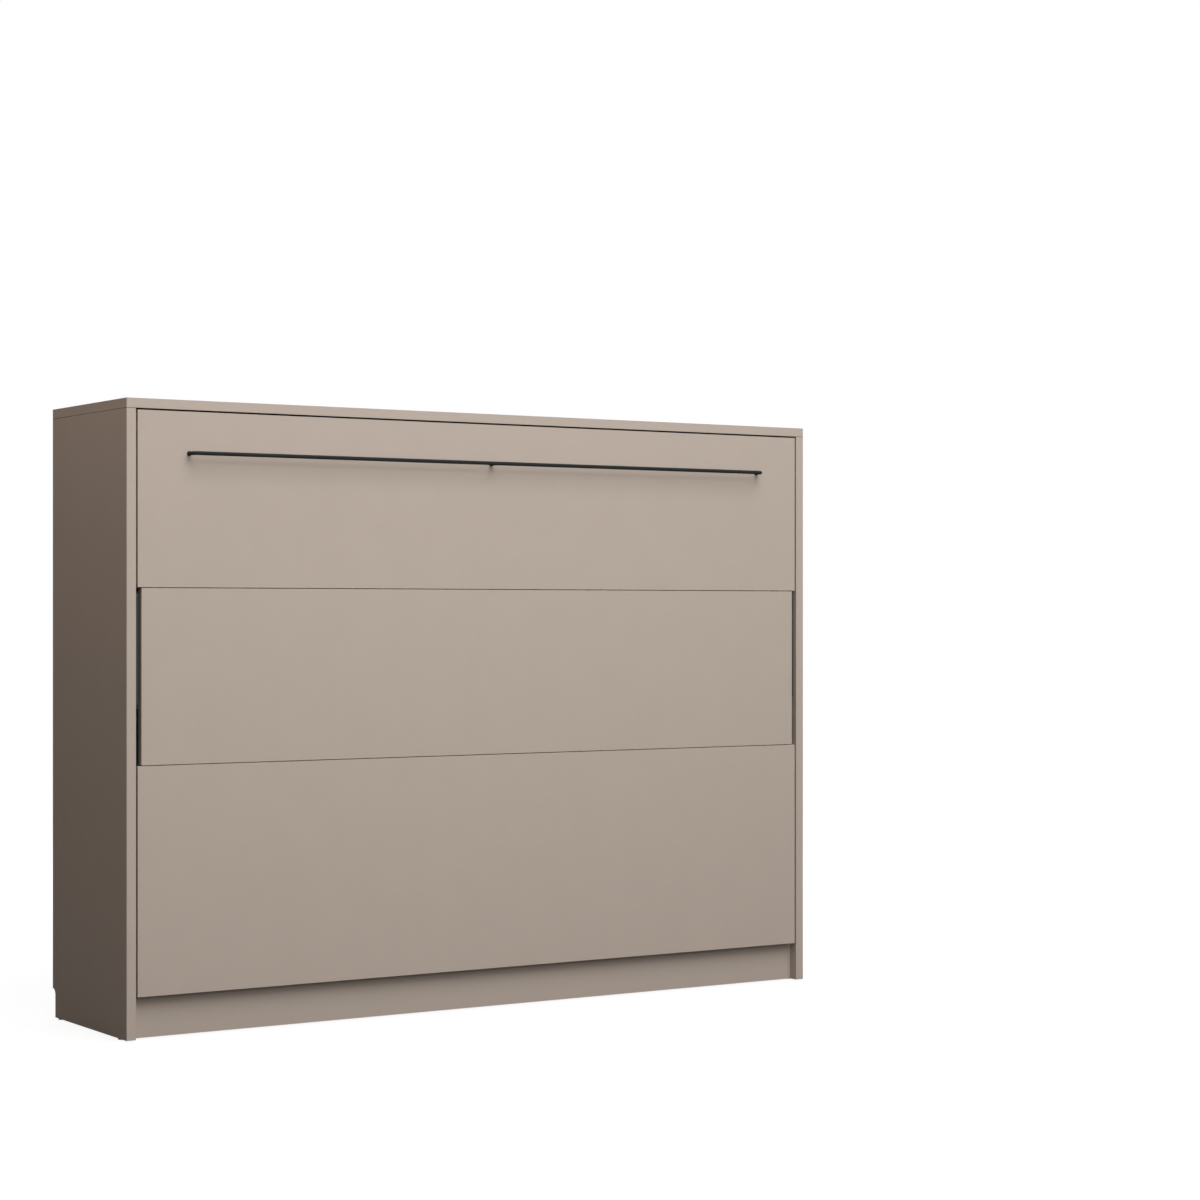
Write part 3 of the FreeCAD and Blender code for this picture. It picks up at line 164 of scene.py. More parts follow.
# Most of a noise lies within this span.
NOISE_SPAN = (0.3, 0.7)
TAUPE = colour(178, 165, 154)
SPECKLE_SPAN = (0.35, 0.65)
# Reach and strength of the lighter board edges: rubbed wear, and a painted highlight as well.
RUB_HIGHLIGHT_WIDTH = 0.0016
RUB_HIGHLIGHT_SHARE = 0.35
BAND_WIDTH = 0.001
BAND_LINE_SPAN = (0.00005, 0.00016)
BAND_LINE_SHARE = 0.12
# Height and width of the painted shade line in the seam under the top board.
JOINT_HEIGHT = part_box("top_board")[0][2]
JOINT_SHADE_SPAN = (0.00045, 0.0008)
EMBOSS_DEPTH = 0.00025
FIBRE_DEPTH = 0.0002
PEEL_DEPTH = 0.0002
SCRATCH_DEPTH = 0.0001
MOULD_GRAIN_DEPTH = 0.00015
WOOD_GRAIN_DEPTH = 0.0002
BLACK_MOULDING = colour(30, 29, 28)
NATURAL_NYLON = colour(222, 220, 212)


def laminate(name):
    """Matt melamine on a board: a pearl emboss, faint mottling, and edges with a band and some rub that is
    also a painted highlight; a painted shade line lies along the top board's seam.
    """
    low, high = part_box(name)
    shader = Shader("laminate_" + name)
    to_faces = shader.vector(
        "MINIMUM",
        shader.vector("SUBTRACT", shader.place, tuple(low)),
        shader.vector("SUBTRACT", tuple(high), shader.place),
    )
    across, deep, up = shader.split(to_faces)
    nearer = shader.math("MINIMUM", across, deep)
    farther = shader.math("MAXIMUM", across, deep)
    to_edge = shader.math("MAXIMUM", nearer, shader.math("MINIMUM", farther, up))
    mottle = shader.noise(per_metre=9.0, detail=4.0)
    grain = shader.noise(per_metre=1500.0)
    speckle = shader.noise(per_metre=420.0, detail=3.0)
    tone = shader.mix(shader.spread(mottle, NOISE_SPAN), shade(TAUPE, 0.985), shade(TAUPE, 1.015))
    tone = shader.mix(shader.spread(speckle, SPECKLE_SPAN), shade(TAUPE, 0.97), tone)
    # Lighter edges: partly rubbed wear, partly a painted highlight along the board's edges.
    rub_highlight_reach = shader.math("MULTIPLY", shader.noise(per_metre=60.0, detail=3.0), RUB_HIGHLIGHT_WIDTH)
    worn_and_highlit = shader.spread(to_edge, (0.0, rub_highlight_reach), to=(1.0, 0.0))
    tone = shader.mix(shader.math("MULTIPLY", worn_and_highlit, RUB_HIGHLIGHT_SHARE), tone, shade(TAUPE, 1.15))
    from_band = shader.math("ABSOLUTE", shader.math("SUBTRACT", to_edge, BAND_WIDTH))
    line = shader.spread(from_band, BAND_LINE_SPAN, to=(BAND_LINE_SHARE, 0.0))
    tone = shader.mix(line, tone, shade(TAUPE, 0.6))
    # Painted shade: a dark line at the height of the top board's underside, for the shadow in its seam with
    # the sides.
    height = shader.split(shader.place)[2]
    from_joint = shader.math("ABSOLUTE", shader.math("SUBTRACT", height, JOINT_HEIGHT))
    joint_shade = shader.spread(from_joint, JOINT_SHADE_SPAN, to=(1.0, 0.0))
    tone = shader.mix(joint_shade, tone, shade(TAUPE, 0.2))
    rough = shader.spread(shader.noise(per_metre=35.0, detail=5.0), NOISE_SPAN, to=(0.46, 0.56))
    emboss = shader.bump(shader.math("ADD", grain, speckle), strength=0.12, depth=EMBOSS_DEPTH)
    return shader.finish(Base_Color=tone, Roughness=rough, Normal=emboss, Specular_IOR_Level=0.01)


def hardboard():
    """Thin back sheet: lacquered in the cabinet's colour inside, raw brown fibre towards the wall."""
    shader = Shader("hardboard")
    facing_wall = shader.split(shader.coordinates["Normal"])[1]
    along = shader.stretch((1.0, 1.0, 0.35))
    fibres = shader.noise(per_metre=160.0, detail=6.0, roughness=0.7, place=along)
    clouds = shader.noise(per_metre=4.0, detail=4.0)
    raw = shader.mix(shader.spread(fibres, NOISE_SPAN), colour(116, 82, 54), colour(150, 112, 78))
    raw = shader.mix(shader.spread(clouds, NOISE_SPAN, to=(0.0, 0.4)), raw, colour(104, 74, 50))
    inside = shader.mix(shader.spread(fibres, NOISE_SPAN), shade(TAUPE, 0.94), TAUPE)
    tone = shader.mix(shader.math("GREATER_THAN", facing_wall, 0.5), inside, raw)
    rough = shader.spread(fibres, (0.2, 0.8), to=(0.55, 0.75))
    relief = shader.bump(fibres, strength=0.2, depth=FIBRE_DEPTH)
    return shader.finish(Base_Color=tone, Roughness=rough, Normal=relief)


def powder_coat(name, tone, roughness, shine):
    """Powder-coated steel: fine orange peel, with duller scuffs."""
    shader = Shader(name)
    peel = shader.noise(per_metre=650.0)
    scuffs = shader.noise(per_metre=40.0, detail=6.0, roughness=0.7)
    mixed = shader.mix(shader.spread(scuffs, (0.55, 0.75), to=(0.0, 0.5)), tone, shade(tone, 1.7))
    rough = shader.spread(scuffs, NOISE_SPAN, to=roughness)
    relief = shader.bump(peel, strength=0.15, depth=PEEL_DEPTH)
    return shader.finish(Base_Color=mixed, Roughness=rough, Normal=relief, Specular_IOR_Level=shine)


def zinc():
    """Zinc-plated steel: soft spangle and drawn scratches."""
    shader = Shader("zinc_plate")
    spangle = shader.cells(per_metre=260.0)["Color"]
    drawn = shader.noise(per_metre=900.0, detail=3.0, place=shader.stretch((1.0, 1.0, 0.08)))
    tone = shader.mix(shader.split(spangle)[0], colour(176, 178, 176), colour(206, 207, 202))
    rough = shader.spread(drawn, NOISE_SPAN, to=(0.28, 0.42))
    relief = shader.bump(drawn, strength=0.06, depth=SCRATCH_DEPTH)
    return shader.finish(Base_Color=tone, Roughness=rough, Metallic=1.0, Normal=relief)


def chrome():
    """The gas springs' polished rods."""
    shader = Shader("chrome_rod")
    drawn = shader.noise(per_metre=1400.0, place=shader.stretch((1.0, 1.0, 0.05)))
    tone = shader.mix(drawn, colour(205, 207, 208), colour(228, 229, 229))
    rough = shader.spread(drawn, NOISE_SPAN, to=(0.08, 0.18))
    return shader.finish(Base_Color=tone, Roughness=rough, Metallic=1.0)


def plastic(name, tone, roughness, shine, clouding):
    """Moulded plastic with a fine spark-eroded grain and faint clouds of tone."""
    shader = Shader(name)
    grain = shader.noise(per_metre=1800.0)
    flow = shader.noise(per_metre=50.0, detail=4.0)
    darker = shade(tone, 1 - clouding)
    lighter = shade(tone, 1 + clouding)
    mixed = shader.mix(shader.spread(flow, NOISE_SPAN), darker, lighter)
    rough = shader.spread(flow, NOISE_SPAN, to=roughness)
    relief = shader.bump(grain, strength=0.12, depth=MOULD_GRAIN_DEPTH)
    return shader.finish(Base_Color=mixed, Roughness=rough, Normal=relief, Specular_IOR_Level=shine)


def beech():
    """Beech, with its grain and its darker flecks along the slat."""
    shader = Shader("beech")
    along = shader.stretch((1.0, 1.0, 0.03))
    grain = shader.noise(per_metre=220.0, detail=5.0, roughness=0.65, place=along)
    flecks = shader.noise(per_metre=900.0, place=shader.stretch((1.0, 1.0, 0.06)))
    tone = shader.mix(shader.spread(grain, NOISE_SPAN), colour(196, 152, 108), colour(222, 184, 140))
    tone = shader.mix(shader.spread(flecks, (0.6, 0.72), to=(0.0, 0.45)), tone, colour(150, 104, 66))
    rough = shader.spread(grain, NOISE_SPAN, to=(0.38, 0.52))
    relief = shader.bump(grain, strength=0.15, depth=WOOD_GRAIN_DEPTH)
    return shader.finish(Base_Color=tone, Roughness=rough, Normal=relief)


BY_SLOT = {
    "back_board": hardboard(),
    "black_steel": powder_coat("black_powder_coat", colour(38, 38, 37), roughness=(0.42, 0.56), shine=0.3),
    "handle_steel": powder_coat("handle_powder_coat", colour(40, 42, 42), roughness=(0.4, 0.5), shine=0.03),
    "zinc_steel": zinc(),
    "spring_black": powder_coat("spring_paint", colour(24, 24, 25), roughness=(0.18, 0.28), shine=0.5),
    "spring_rod": chrome(),
    "black_plastic": plastic("black_plastic", BLACK_MOULDING, (0.42, 0.55), shine=0.15, clouding=0.1),
    "white_nylon": plastic("white_nylon", NATURAL_NYLON, (0.4, 0.46), shine=0.4, clouding=0.02),
    "black_rubber": plastic("black_rubber", BLACK_MOULDING, (0.72, 0.88), shine=0.15, clouding=0.1),
    "beech": beech(),
}


# CAD nodes

WELD_REACH = 0.00001
BOARD_EASE = 0.0004
EASE_STEPS = 2
SHARP_ANGLE = math.radians(40)


def ease_edges(piece, width):
    """Takes the sharpness off a piece's edges, as edge banding or a mould does."""
    weld = piece.modifiers.new("weld", "WELD")
    weld.merge_threshold = WELD_REACH
    bevel = piece.modifiers.new("ease", "BEVEL")
    bevel.width = width
    bevel.segments = EASE_STEPS
    bevel.limit_method = "ANGLE"
    bevel.angle_limit = SHARP_ANGLE
    bevel.harden_normals = True


def dress_nodes():
    """Gives each CAD node the material of its slot; each laminated board has its own, and eased edges."""
    for row in frame["record"]["subparts"]:
        node = nodes[row["node"]]
        material = BY_SLOT.get(row["material_slot"])
        if row["material_slot"] == "taupe_laminate":
            material = laminate(row["node"])
            ease_edges(node, BOARD_EASE)
        if material is not None:
            node.data.materials.clear()
            node.data.materials.append(material)


dress_nodes()


# New pieces


def new_piece(name, mesh, material):
    """A smooth-shaded piece of the object, in the scene."""
    mesh.materials.clear()
    mesh.materials.append(material)
    mesh.shade_smooth()
    piece = bpy.data.objects.new(name, mesh)
    scene.collection.objects.link(piece)
    return piece


def mesh_from(work, name):
    """The mesh that was built in a bmesh, which is freed."""
    mesh = bpy.data.meshes.new(name)
    work.to_mesh(mesh)
    work.free()
    return mesh


def baked(piece, name):
    """A mesh of a piece as its modifiers leave it."""
    graph = bpy.context.evaluated_depsgraph_get()
    mesh = bpy.data.meshes.new_from_object(piece.evaluated_get(graph))
    mesh.name = name
    return mesh


# Mattress

MATTRESS_LOW, MATTRESS_HIGH = (Vector(corner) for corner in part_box("mattress"))
STRAPS_LOW, STRAPS_HIGH = (Vector(corner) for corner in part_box("mattress_straps"))
STRAP_WIDTH = 0.040
STRAP_CENTRE = STRAPS_HIGH.x - STRAP_WIDTH / 2
SLAT_CLEARANCE = 0.0003
PAD_INSET = 0.0065
PAD_CORNER = 0.056
PAD_CORNER_STEPS = 8
PAD_RIM = 0.024
PAD_RIM_STEPS = 5
PAD_VOXEL = 0.018
PAD_PRESSURE = 4.0
PAD_FRAMES = 20
CLOTH_QUALITY = 4
SIDE_SWELL = 0.006
CROWN_SWELL = 0.013
DENT_REACH = 0.14
MATTRESS_TONE = colour(214, 211, 203)
MATTRESS_PITCH = 0.0022
LOOP_DEPTH = 0.0005
FUZZ_SHARE = 0.3


def knit(name, tone, pitch):
    """Stretch-knit ticking: rows of small loops, soft clouds of shade, and a dull surface."""
    shader = Shader(name)
    loops = shader.cells(per_metre=1.0 / pitch, place=shader.stretch((1.0, 0.6, 0.6)))["Distance"]
    clouds = shader.noise(per_metre=5.0, detail=3.0)
    fuzz = shader.noise(per_metre=2400.0)
    mixed = shader.mix(shader.spread(loops, (0.15, 0.75)), tone, shade(tone, 0.84))
    mixed = shader.mix(shader.spread(clouds, (0.35, 0.65), to=(0.0, 0.35)), mixed, shade(tone, 0.95))
    height = shader.math("SUBTRACT", shader.math("MULTIPLY", fuzz, FUZZ_SHARE), loops)
    rough = shader.spread(fuzz, NOISE_SPAN, to=(0.82, 0.94))
    weave = shader.bump(height, strength=0.5, depth=LOOP_DEPTH)
    return shader.finish(
        Base_Color=mixed, Roughness=rough, Normal=weave, Specular_IOR_Level=0.15, Sheen_Weight=0.15
    )


MATTRESS_KNIT = knit("mattress_knit", MATTRESS_TONE, MATTRESS_PITCH)


def pad_blank():
    """The mattress a little smaller than its space, with round corners and rims, as an even net."""
    low = MATTRESS_LOW + Vector((PAD_INSET, SLAT_CLEARANCE, PAD_INSET))
    high = MATTRESS_HIGH - Vector((PAD_INSET, PAD_INSET, PAD_INSET))
    work = bmesh.new()
    bmesh.ops.create_cube(work, size=1.0)
    bmesh.ops.scale(work, vec=high - low, verts=work.verts)
    bmesh.ops.translate(work, vec=(low + high) / 2, verts=work.verts)
    deep = [edge for edge in work.edges if edge.verts[0].co.y * edge.verts[1].co.y < 0]
    bmesh.ops.bevel(
        work, geom=deep, offset=PAD_CORNER, segments=PAD_CORNER_STEPS, profile=0.5, affect="EDGES"
    )
    faces = [face for face in work.faces if abs(face.normal.y) > 0.5]
    rims = [edge for face in faces for edge in face.edges]
    bmesh.ops.bevel(work, geom=rims, offset=PAD_RIM, segments=PAD_RIM_STEPS, profile=0.5, affect="EDGES")
    blank = new_piece("pad_blank", mesh_from(work, "pad_blank"), MATTRESS_KNIT)
    remesh = blank.modifiers.new("net", "REMESH")
    remesh.mode = "VOXEL"
    remesh.voxel_size = PAD_VOXEL
    net = baked(blank, "pad_net")
    bpy.data.objects.remove(blank)
    return new_piece("pad_net", net, MATTRESS_KNIT)


def swell(pad):
    """The pad's points after its cover is blown up a little from inside."""
    cloth = pad.modifiers.new("swell", "CLOTH")
    cloth.settings.quality = CLOTH_QUALITY
    cloth.settings.use_pressure = True
    cloth.settings.uniform_pressure_force = PAD_PRESSURE
    cloth.settings.effector_weights.gravity = 0.0
    cloth.point_cache.frame_start = 1
    cloth.point_cache.frame_end = PAD_FRAMES
    for step in range(1, PAD_FRAMES + 1):
        scene.frame_set(step)
    blown = baked(pad, "pad_blown")
    points = [vertex.co.copy() for vertex in blown.vertices]
    bpy.data.meshes.remove(blown)
    pad.modifiers.remove(cloth)
    scene.frame_set(1)
    return points


def crown_room(point):
    """How far the cover may rise: little under the straps, more between them."""
    from_strap = min(abs(abs(point.x) - STRAP_CENTRE) / DENT_REACH, 1.0)
    open_share = from_strap * from_strap * (3 - 2 * from_strap)
    return SIDE_SWELL + (CROWN_SWELL - SIDE_SWELL) * open_share


def mattress_pad():
    """The mattress: a swollen fabric pad, flat on the slats, held in by its straps."""
    pad = pad_blank()
    starts = [vertex.co.copy() for vertex in pad.data.vertices]
    ends = swell(pad)
    for vertex, start, end in zip(pad.data.vertices, starts, ends):
        move = end - start
        room = crown_room(start)
        for axis, most in enumerate((SIDE_SWELL, room, SIDE_SWELL)):
            move[axis] = max(-most, min(most, move[axis]))
        spot = start + move
        spot.y = max(spot.y, MATTRESS_LOW.y + SLAT_CLEARANCE)
        vertex.co = spot
    pad.name = "mattress_pad"
    finer = pad.modifiers.new("finer", "SUBSURF")
    finer.levels = 1
    finer.render_levels = 1
    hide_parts("mattress")
    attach(pad, "bed")
    return pad


PAD = mattress_pad()


# Mattress tape edges

TAPE_RADIUS = 0.0045
TAPE_SINK = 0.0015
TAPE_PROBE = 0.10
TAPE_STEPS = 24
RUN_STEPS = 60
TAPE_TONE = colour(176, 173, 166)
TAPE_PITCH = 0.0014
TAPE_WEAVE = knit("tape_weave", TAPE_TONE, TAPE_PITCH)


def rim_walk():
    """Points round the mattress's outline, each with its direction outwards: a corner, then a side."""
    middle = (MATTRESS_LOW + MATTRESS_HIGH) / 2
    half = (MATTRESS_HIGH - MATTRESS_LOW) / 2 - Vector((PAD_INSET, 0.0, PAD_INSET))
    quarters = ((1, 1), (-1, 1), (-1, -1), (1, -1))
    centres = [
        middle + Vector((across * (half.x - PAD_CORNER), 0.0, up * (half.z - PAD_CORNER)))
        for across, up in quarters
    ]
    walk = []
    for number, centre in enumerate(centres):
        for step in range(TAPE_STEPS + 1):
            turn = (number + step / TAPE_STEPS) * math.pi / 2
            outward = Vector((math.cos(turn), 0.0, math.sin(turn)))
            walk.append((centre + outward * PAD_CORNER, outward))
        following = centres[(number + 1) % len(centres)]
        for step in range(1, RUN_STEPS):
            walk.append((centre.lerp(following, step / RUN_STEPS) + outward * PAD_CORNER, outward))
    return walk


def rim_spots(side_y, outward_y):
    """Points round one rim of the pad, found by probing its corner between face and side."""
    graph = bpy.context.evaluated_depsgraph_get()
    surface = BVHTree.FromObject(PAD, graph)
    spots = []
    for rim, sideways in rim_walk():
        rim.y = side_y
        outward = (sideways + Vector((0.0, outward_y, 0.0))).normalized()
        hit = surface.ray_cast(rim + outward * TAPE_PROBE, -outward)[0]
        if hit is not None:
            spots.append(hit + outward * (TAPE_RADIUS - TAPE_SINK))
    return spots


def tape_edge(name, side_y, outward_y):
    """A round tape sewn along one rim of the mattress."""
    line = bpy.data.curves.new(name, "CURVE")
    line.dimensions = "3D"
    line.bevel_depth = TAPE_RADIUS
    line.bevel_resolution = 3
    spots = rim_spots(side_y, outward_y)
    spline = line.splines.new("POLY")
    spline.points.add(len(spots) - 1)
    for point, spot in zip(spline.points, spots):
        point.co = (*spot, 1.0)
    spline.use_cyclic_u = True
    route = bpy.data.objects.new(name + "_route", line)
    scene.collection.objects.link(route)
    mesh = baked(route, name)
    bpy.data.objects.remove(route)
    piece = new_piece(name, mesh, TAPE_WEAVE)
    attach(piece, "bed")


tape_edge("mattress_upper_tape", MATTRESS_HIGH.y - PAD_INSET, 1.0)
tape_edge("mattress_lower_tape", MATTRESS_LOW.y + SLAT_CLEARANCE, -1.0)


# Straps

STRAP_THICKNESS = 0.002
STRAP_BEND = 0.0213
FOOT_BEND = 0.003
BEND_STEPS = 10
STRAP_COLUMNS = 8
STRAP_TONE = colour(58, 58, 60)
RIB_PITCH = 0.0028
THREAD_PITCH = 0.0014
THREAD_SHARE = 0.5
RIB_DEPTH = 0.0003
RIB_SPAN = (-1.2, 1.2)
SELVEDGE_SPAN = (0.0165, 0.0172)


def webbing():
    """Woven polyester strap: a herringbone of ribs between two plain selvedges."""
    shader = Shader("webbing")
    across, along, _ = shader.split(shader.coordinates["UV"])
    from_middle = shader.math("ABSOLUTE", across)
    slant = shader.math("ADD", along, from_middle)
    rib = shader.math("SINE", shader.math("MULTIPLY", slant, 2 * math.pi / RIB_PITCH))
    thread = shader.math("SINE", shader.math("MULTIPLY", across, 2 * math.pi / THREAD_PITCH))
    height = shader.math("ADD", rib, shader.math("MULTIPLY", thread, THREAD_SHARE))
    fuzz = shader.noise(per_metre=900.0, detail=4.0)
    tone = shader.mix(shader.spread(height, RIB_SPAN), shade(STRAP_TONE, 0.6), shade(STRAP_TONE, 1.25))
    edge = shader.spread(from_middle, SELVEDGE_SPAN)
    tone = shader.mix(edge, tone, shade(STRAP_TONE, 0.75))
    rough = shader.spread(fuzz, NOISE_SPAN, to=(0.62, 0.8))
    weave = shader.bump(height, strength=0.4, depth=RIB_DEPTH)
    return shader.finish(Base_Color=tone, Roughness=rough, Normal=weave, Specular_IOR_Level=0.2)


WEBBING = webbing()


def rounded(corners, radii):
    """The points of a route whose corners are turned on arcs; each corner is a right angle."""
    spots = [corners[0]]
    for before, corner, after, radius in zip(corners, corners[1:], corners[2:], radii):
        start = (before - corner).normalized()
        end = (after - corner).normalized()
        centre = corner + (start + end) * radius
        for step in range(BEND_STEPS + 1):
            turn = step / BEND_STEPS * math.pi / 2
            spots.append(centre - end * radius * math.cos(turn) - start * radius * math.sin(turn))
    spots.append(corners[-1])
    return spots


def strap_route():
    """The strap's middle line in depth and height: from one long rail round the mattress to the other."""
    half = STRAP_THICKNESS / 2
    foot_y = STRAPS_LOW.y + half
    rear_y = STRAPS_HIGH.y - half
    low_z = MATTRESS_LOW.z - SLAT_CLEARANCE - half
    high_z = MATTRESS_HIGH.z + SLAT_CLEARANCE + half
    corners = [
        Vector((foot_y, STRAPS_LOW.z)),
        Vector((foot_y, low_z)),
        Vector((rear_y, low_z)),
        Vector((rear_y, high_z)),
        Vector((foot_y, high_z)),
        Vector((foot_y, STRAPS_HIGH.z)),
    ]
    return rounded(corners, (FOOT_BEND, STRAP_BEND, STRAP_BEND, FOOT_BEND))


def strap_sheet(route, travel, centre_x):
    """The strap's middle sheet, whose UV map gives the place across and along it in metres."""
    work = bmesh.new()
    layer = work.loops.layers.uv.new("weave")
    shares = [column / STRAP_COLUMNS - 0.5 for column in range(STRAP_COLUMNS + 1)]
    rows = []
    for spot in route:
        rows.append([work.verts.new((centre_x + share * STRAP_WIDTH, spot.x, spot.y)) for share in shares])
    for row in range(len(route) - 1):
        for column in range(STRAP_COLUMNS):
            ring = ((row, column), (row, column + 1), (row + 1, column + 1), (row + 1, column))
            face = work.faces.new([rows[line][place] for line, place in ring])
            for loop, (line, place) in zip(face.loops, ring):
                loop[layer].uv = (shares[place] * STRAP_WIDTH, travel[line])
    return work


def strap(name, centre_x):
    """One webbing strap, laid round the mattress and drawn tight."""
    route = strap_route()
    travel = [0.0]
    for before, after in zip(route, route[1:]):
        travel.append(travel[-1] + (after - before).length)
    sheet = new_piece(name + "_middle", mesh_from(strap_sheet(route, travel, centre_x), name), WEBBING)
    thick = sheet.modifiers.new("thick", "SOLIDIFY")
    thick.thickness = STRAP_THICKNESS
    thick.offset = 0.0
    solid = baked(sheet, name)
    bpy.data.objects.remove(sheet)
    piece = new_piece(name, solid, WEBBING)
    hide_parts("mattress_straps")
    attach(piece, "bed")


strap("left_mattress_strap", -STRAP_CENTRE)
strap("right_mattress_strap", STRAP_CENTRE)


# Strap buckles

BUCKLES_LOW, BUCKLES_HIGH = (Vector(corner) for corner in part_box("strap_buckles"))
BUCKLE_HALF_WIDTH = BUCKLES_HIGH.x - STRAP_CENTRE
BUCKLE_HALF_HEIGHT = (BUCKLES_HIGH.z - BUCKLES_LOW.z) / 2
BUCKLE_CORNER = 0.007
BUCKLE_EASE = 0.0005
WINDOW_HALF_WIDTH = 0.0206
WINDOW_HALF_HEIGHT = 0.0215
WINDOW_CORNER = 0.0025
RING_RISE = 0.0065
LEVER_HALF_WIDTH = 0.0199
LEVER_END = -0.0165
LEVER_UNDER = 0.0024
LEVER_TOP = 0.0054
HINGE_HEIGHT = 0.0145
HINGE_RISE = 0.005
HINGE_RADIUS = 0.004
PIN_RADIUS = 0.0016
PIN_HALF_LENGTH = 0.023
GRIP_RIBS = 4
GRIP_PITCH = 0.003
GRIP_WIDTH = 0.0014
GRIP_TOP = 0.0064


def round_rectangle(half_width, half_height, corner):
    """Points once round a rectangle with round corners, from the middle of its lower side."""
    start = Vector((0.0, -half_height))
    corners = [start]
    for across, up in ((1, -1), (1, 1), (-1, 1), (-1, -1)):
        corners.append(Vector((across * half_width, up * half_height)))
    corners.append(start)
    return rounded(corners, [corner] * 4)[:-1]


def hinge_arc(radius, angle):
    """Points round the hinge in height and rise off the strap, from its top through an angle."""
    arc = []
    for step in range(BEND_STEPS + 1):
        turn = step / BEND_STEPS * angle
        arc.append((HINGE_HEIGHT + radius * math.sin(turn), HINGE_RISE + radius * math.cos(turn)))
    return arc


def lever_side():
    """The lever from its side, in height and rise off the strap: a round hinge, a plate and grip ribs."""
    outline = hinge_arc(HINGE_RADIUS, math.pi)
    outline += [(LEVER_END, LEVER_UNDER), (LEVER_END, LEVER_TOP)]
    for rib in range(GRIP_RIBS):
        start = LEVER_END + GRIP_PITCH * (rib + 0.5)
        end = start + GRIP_WIDTH
        outline += [(start, LEVER_TOP), (start, GRIP_TOP), (end, GRIP_TOP), (end, LEVER_TOP)]
    return outline


def join_loops(work, first, second):
    """A band of faces between two loops with as many points each."""
    for number in range(len(first)):
        work.faces.new((first[number - 1], first[number], second[number], second[number - 1]))


def add_ring(work, outer, inner):
    """The buckle's flat ring, between its outline and its window."""
    loops = []
    for outline, rise in ((outer, 0.0), (outer, RING_RISE), (inner, RING_RISE), (inner, 0.0)):
        loops.append([work.verts.new((spot.x, rise, spot.y)) for spot in outline])
    for first, second in zip(loops, loops[1:] + loops[:1]):
        join_loops(work, first, second)


def add_bar(work, outline, half_width):
    """A bar across the buckle, with the same outline all along."""
    ends = []
    for across in (-half_width, half_width):
        ends.append([work.verts.new((across, rise, height)) for height, rise in outline])
        work.faces.new(ends[-1])
    join_loops(work, *ends)


def buckle(name, centre_x):
    """A moulded cam buckle: a ring on the strap, and in it a ribbed lever on a pin that grips the strap."""
    work = bmesh.new()
    outer = round_rectangle(BUCKLE_HALF_WIDTH, BUCKLE_HALF_HEIGHT, BUCKLE_CORNER)
    inner = round_rectangle(WINDOW_HALF_WIDTH, WINDOW_HALF_HEIGHT, WINDOW_CORNER)
    add_ring(work, outer, inner)
    add_bar(work, lever_side(), LEVER_HALF_WIDTH)
    add_bar(work, hinge_arc(PIN_RADIUS, 2 * math.pi)[:-1], PIN_HALF_LENGTH)
    bmesh.ops.recalc_face_normals(work, faces=work.faces)
    seat = Vector((centre_x, BUCKLES_LOW.y, (BUCKLES_LOW.z + BUCKLES_HIGH.z) / 2))
    bmesh.ops.translate(work, vec=seat, verts=work.verts)
    piece = new_piece(name, mesh_from(work, name), BY_SLOT["black_plastic"])
    ease_edges(piece, BUCKLE_EASE)
    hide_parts("strap_buckles")
    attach(piece, "bed")


buckle("left_strap_buckle", -STRAP_CENTRE)
buckle("right_strap_buckle", STRAP_CENTRE)


# Floor and sky

FLOOR_HALF_SIZE = 30.0
FLOOR_GREY = (0.10, 0.10, 0.10, 1.0)
FLOOR_FADE_START = 1.2
FLOOR_FADE_END = 3.0
FLOOR_GLOW = 0.90
SKY_LEVEL = 0.03
WARM = (1.0, 0.83, 0.71)
WHITE = (1.0, 1.0, 1.0, 1.0)


def seen_directly(tree):
    """One where a ray comes from the camera, a reflection or through glass, and zero elsewhere."""
    path = tree.nodes.new("ShaderNodeLightPath")
    total = path.outputs["Is Camera Ray"]
    for kind in ("Is Glossy Ray", "Is Transmission Ray"):
        either = tree.nodes.new("ShaderNodeMath")
        either.operation = "MAXIMUM"
        tree.links.new(total, either.inputs[0])
        tree.links.new(path.outputs[kind], either.inputs[1])
        total = either.outputs[0]
    return total


def floor_material():
    """Grey that also glows where it is seen, a little less near the object, where the shadow lies."""
    shader = Shader("pale_floor")
    diffuse = shader.add("ShaderNodeBsdfDiffuse")
    shader.feed(diffuse.inputs["Color"], FLOOR_GREY)
    distance = shader.add("ShaderNodeVectorMath", operation="LENGTH")
    shader.feed(distance.inputs[0], shader.place)
    fade = (FLOOR_FADE_START, FLOOR_FADE_END)
    level = shader.spread(distance.outputs["Value"], fade, to=(FLOOR_GLOW, 1.0))
    glow = shader.add("ShaderNodeEmission")
    shader.feed(glow.inputs["Strength"], shader.math("MULTIPLY", level, seen_directly(shader.tree)))
    both = shader.add("ShaderNodeAddShader")
    shader.feed(both.inputs[0], diffuse.outputs[0])
    shader.feed(both.inputs[1], glow.outputs[0])
    shader.feed(shader.tree.nodes["Material Output"].inputs["Surface"], both.outputs[0])
    shader.tree.nodes.remove(shader.bsdf)
    return shader.material


def floor():
    """A pale floor that keeps the object's faint shadow, and runs out to white away from it."""
    work = bmesh.new()
    bmesh.ops.create_grid(work, x_segments=1, y_segments=1, size=FLOOR_HALF_SIZE)
    plane = bpy.data.objects.new("floor", mesh_from(work, "floor"))
    plane.data.materials.append(floor_material())
    scene.collection.objects.link(plane)


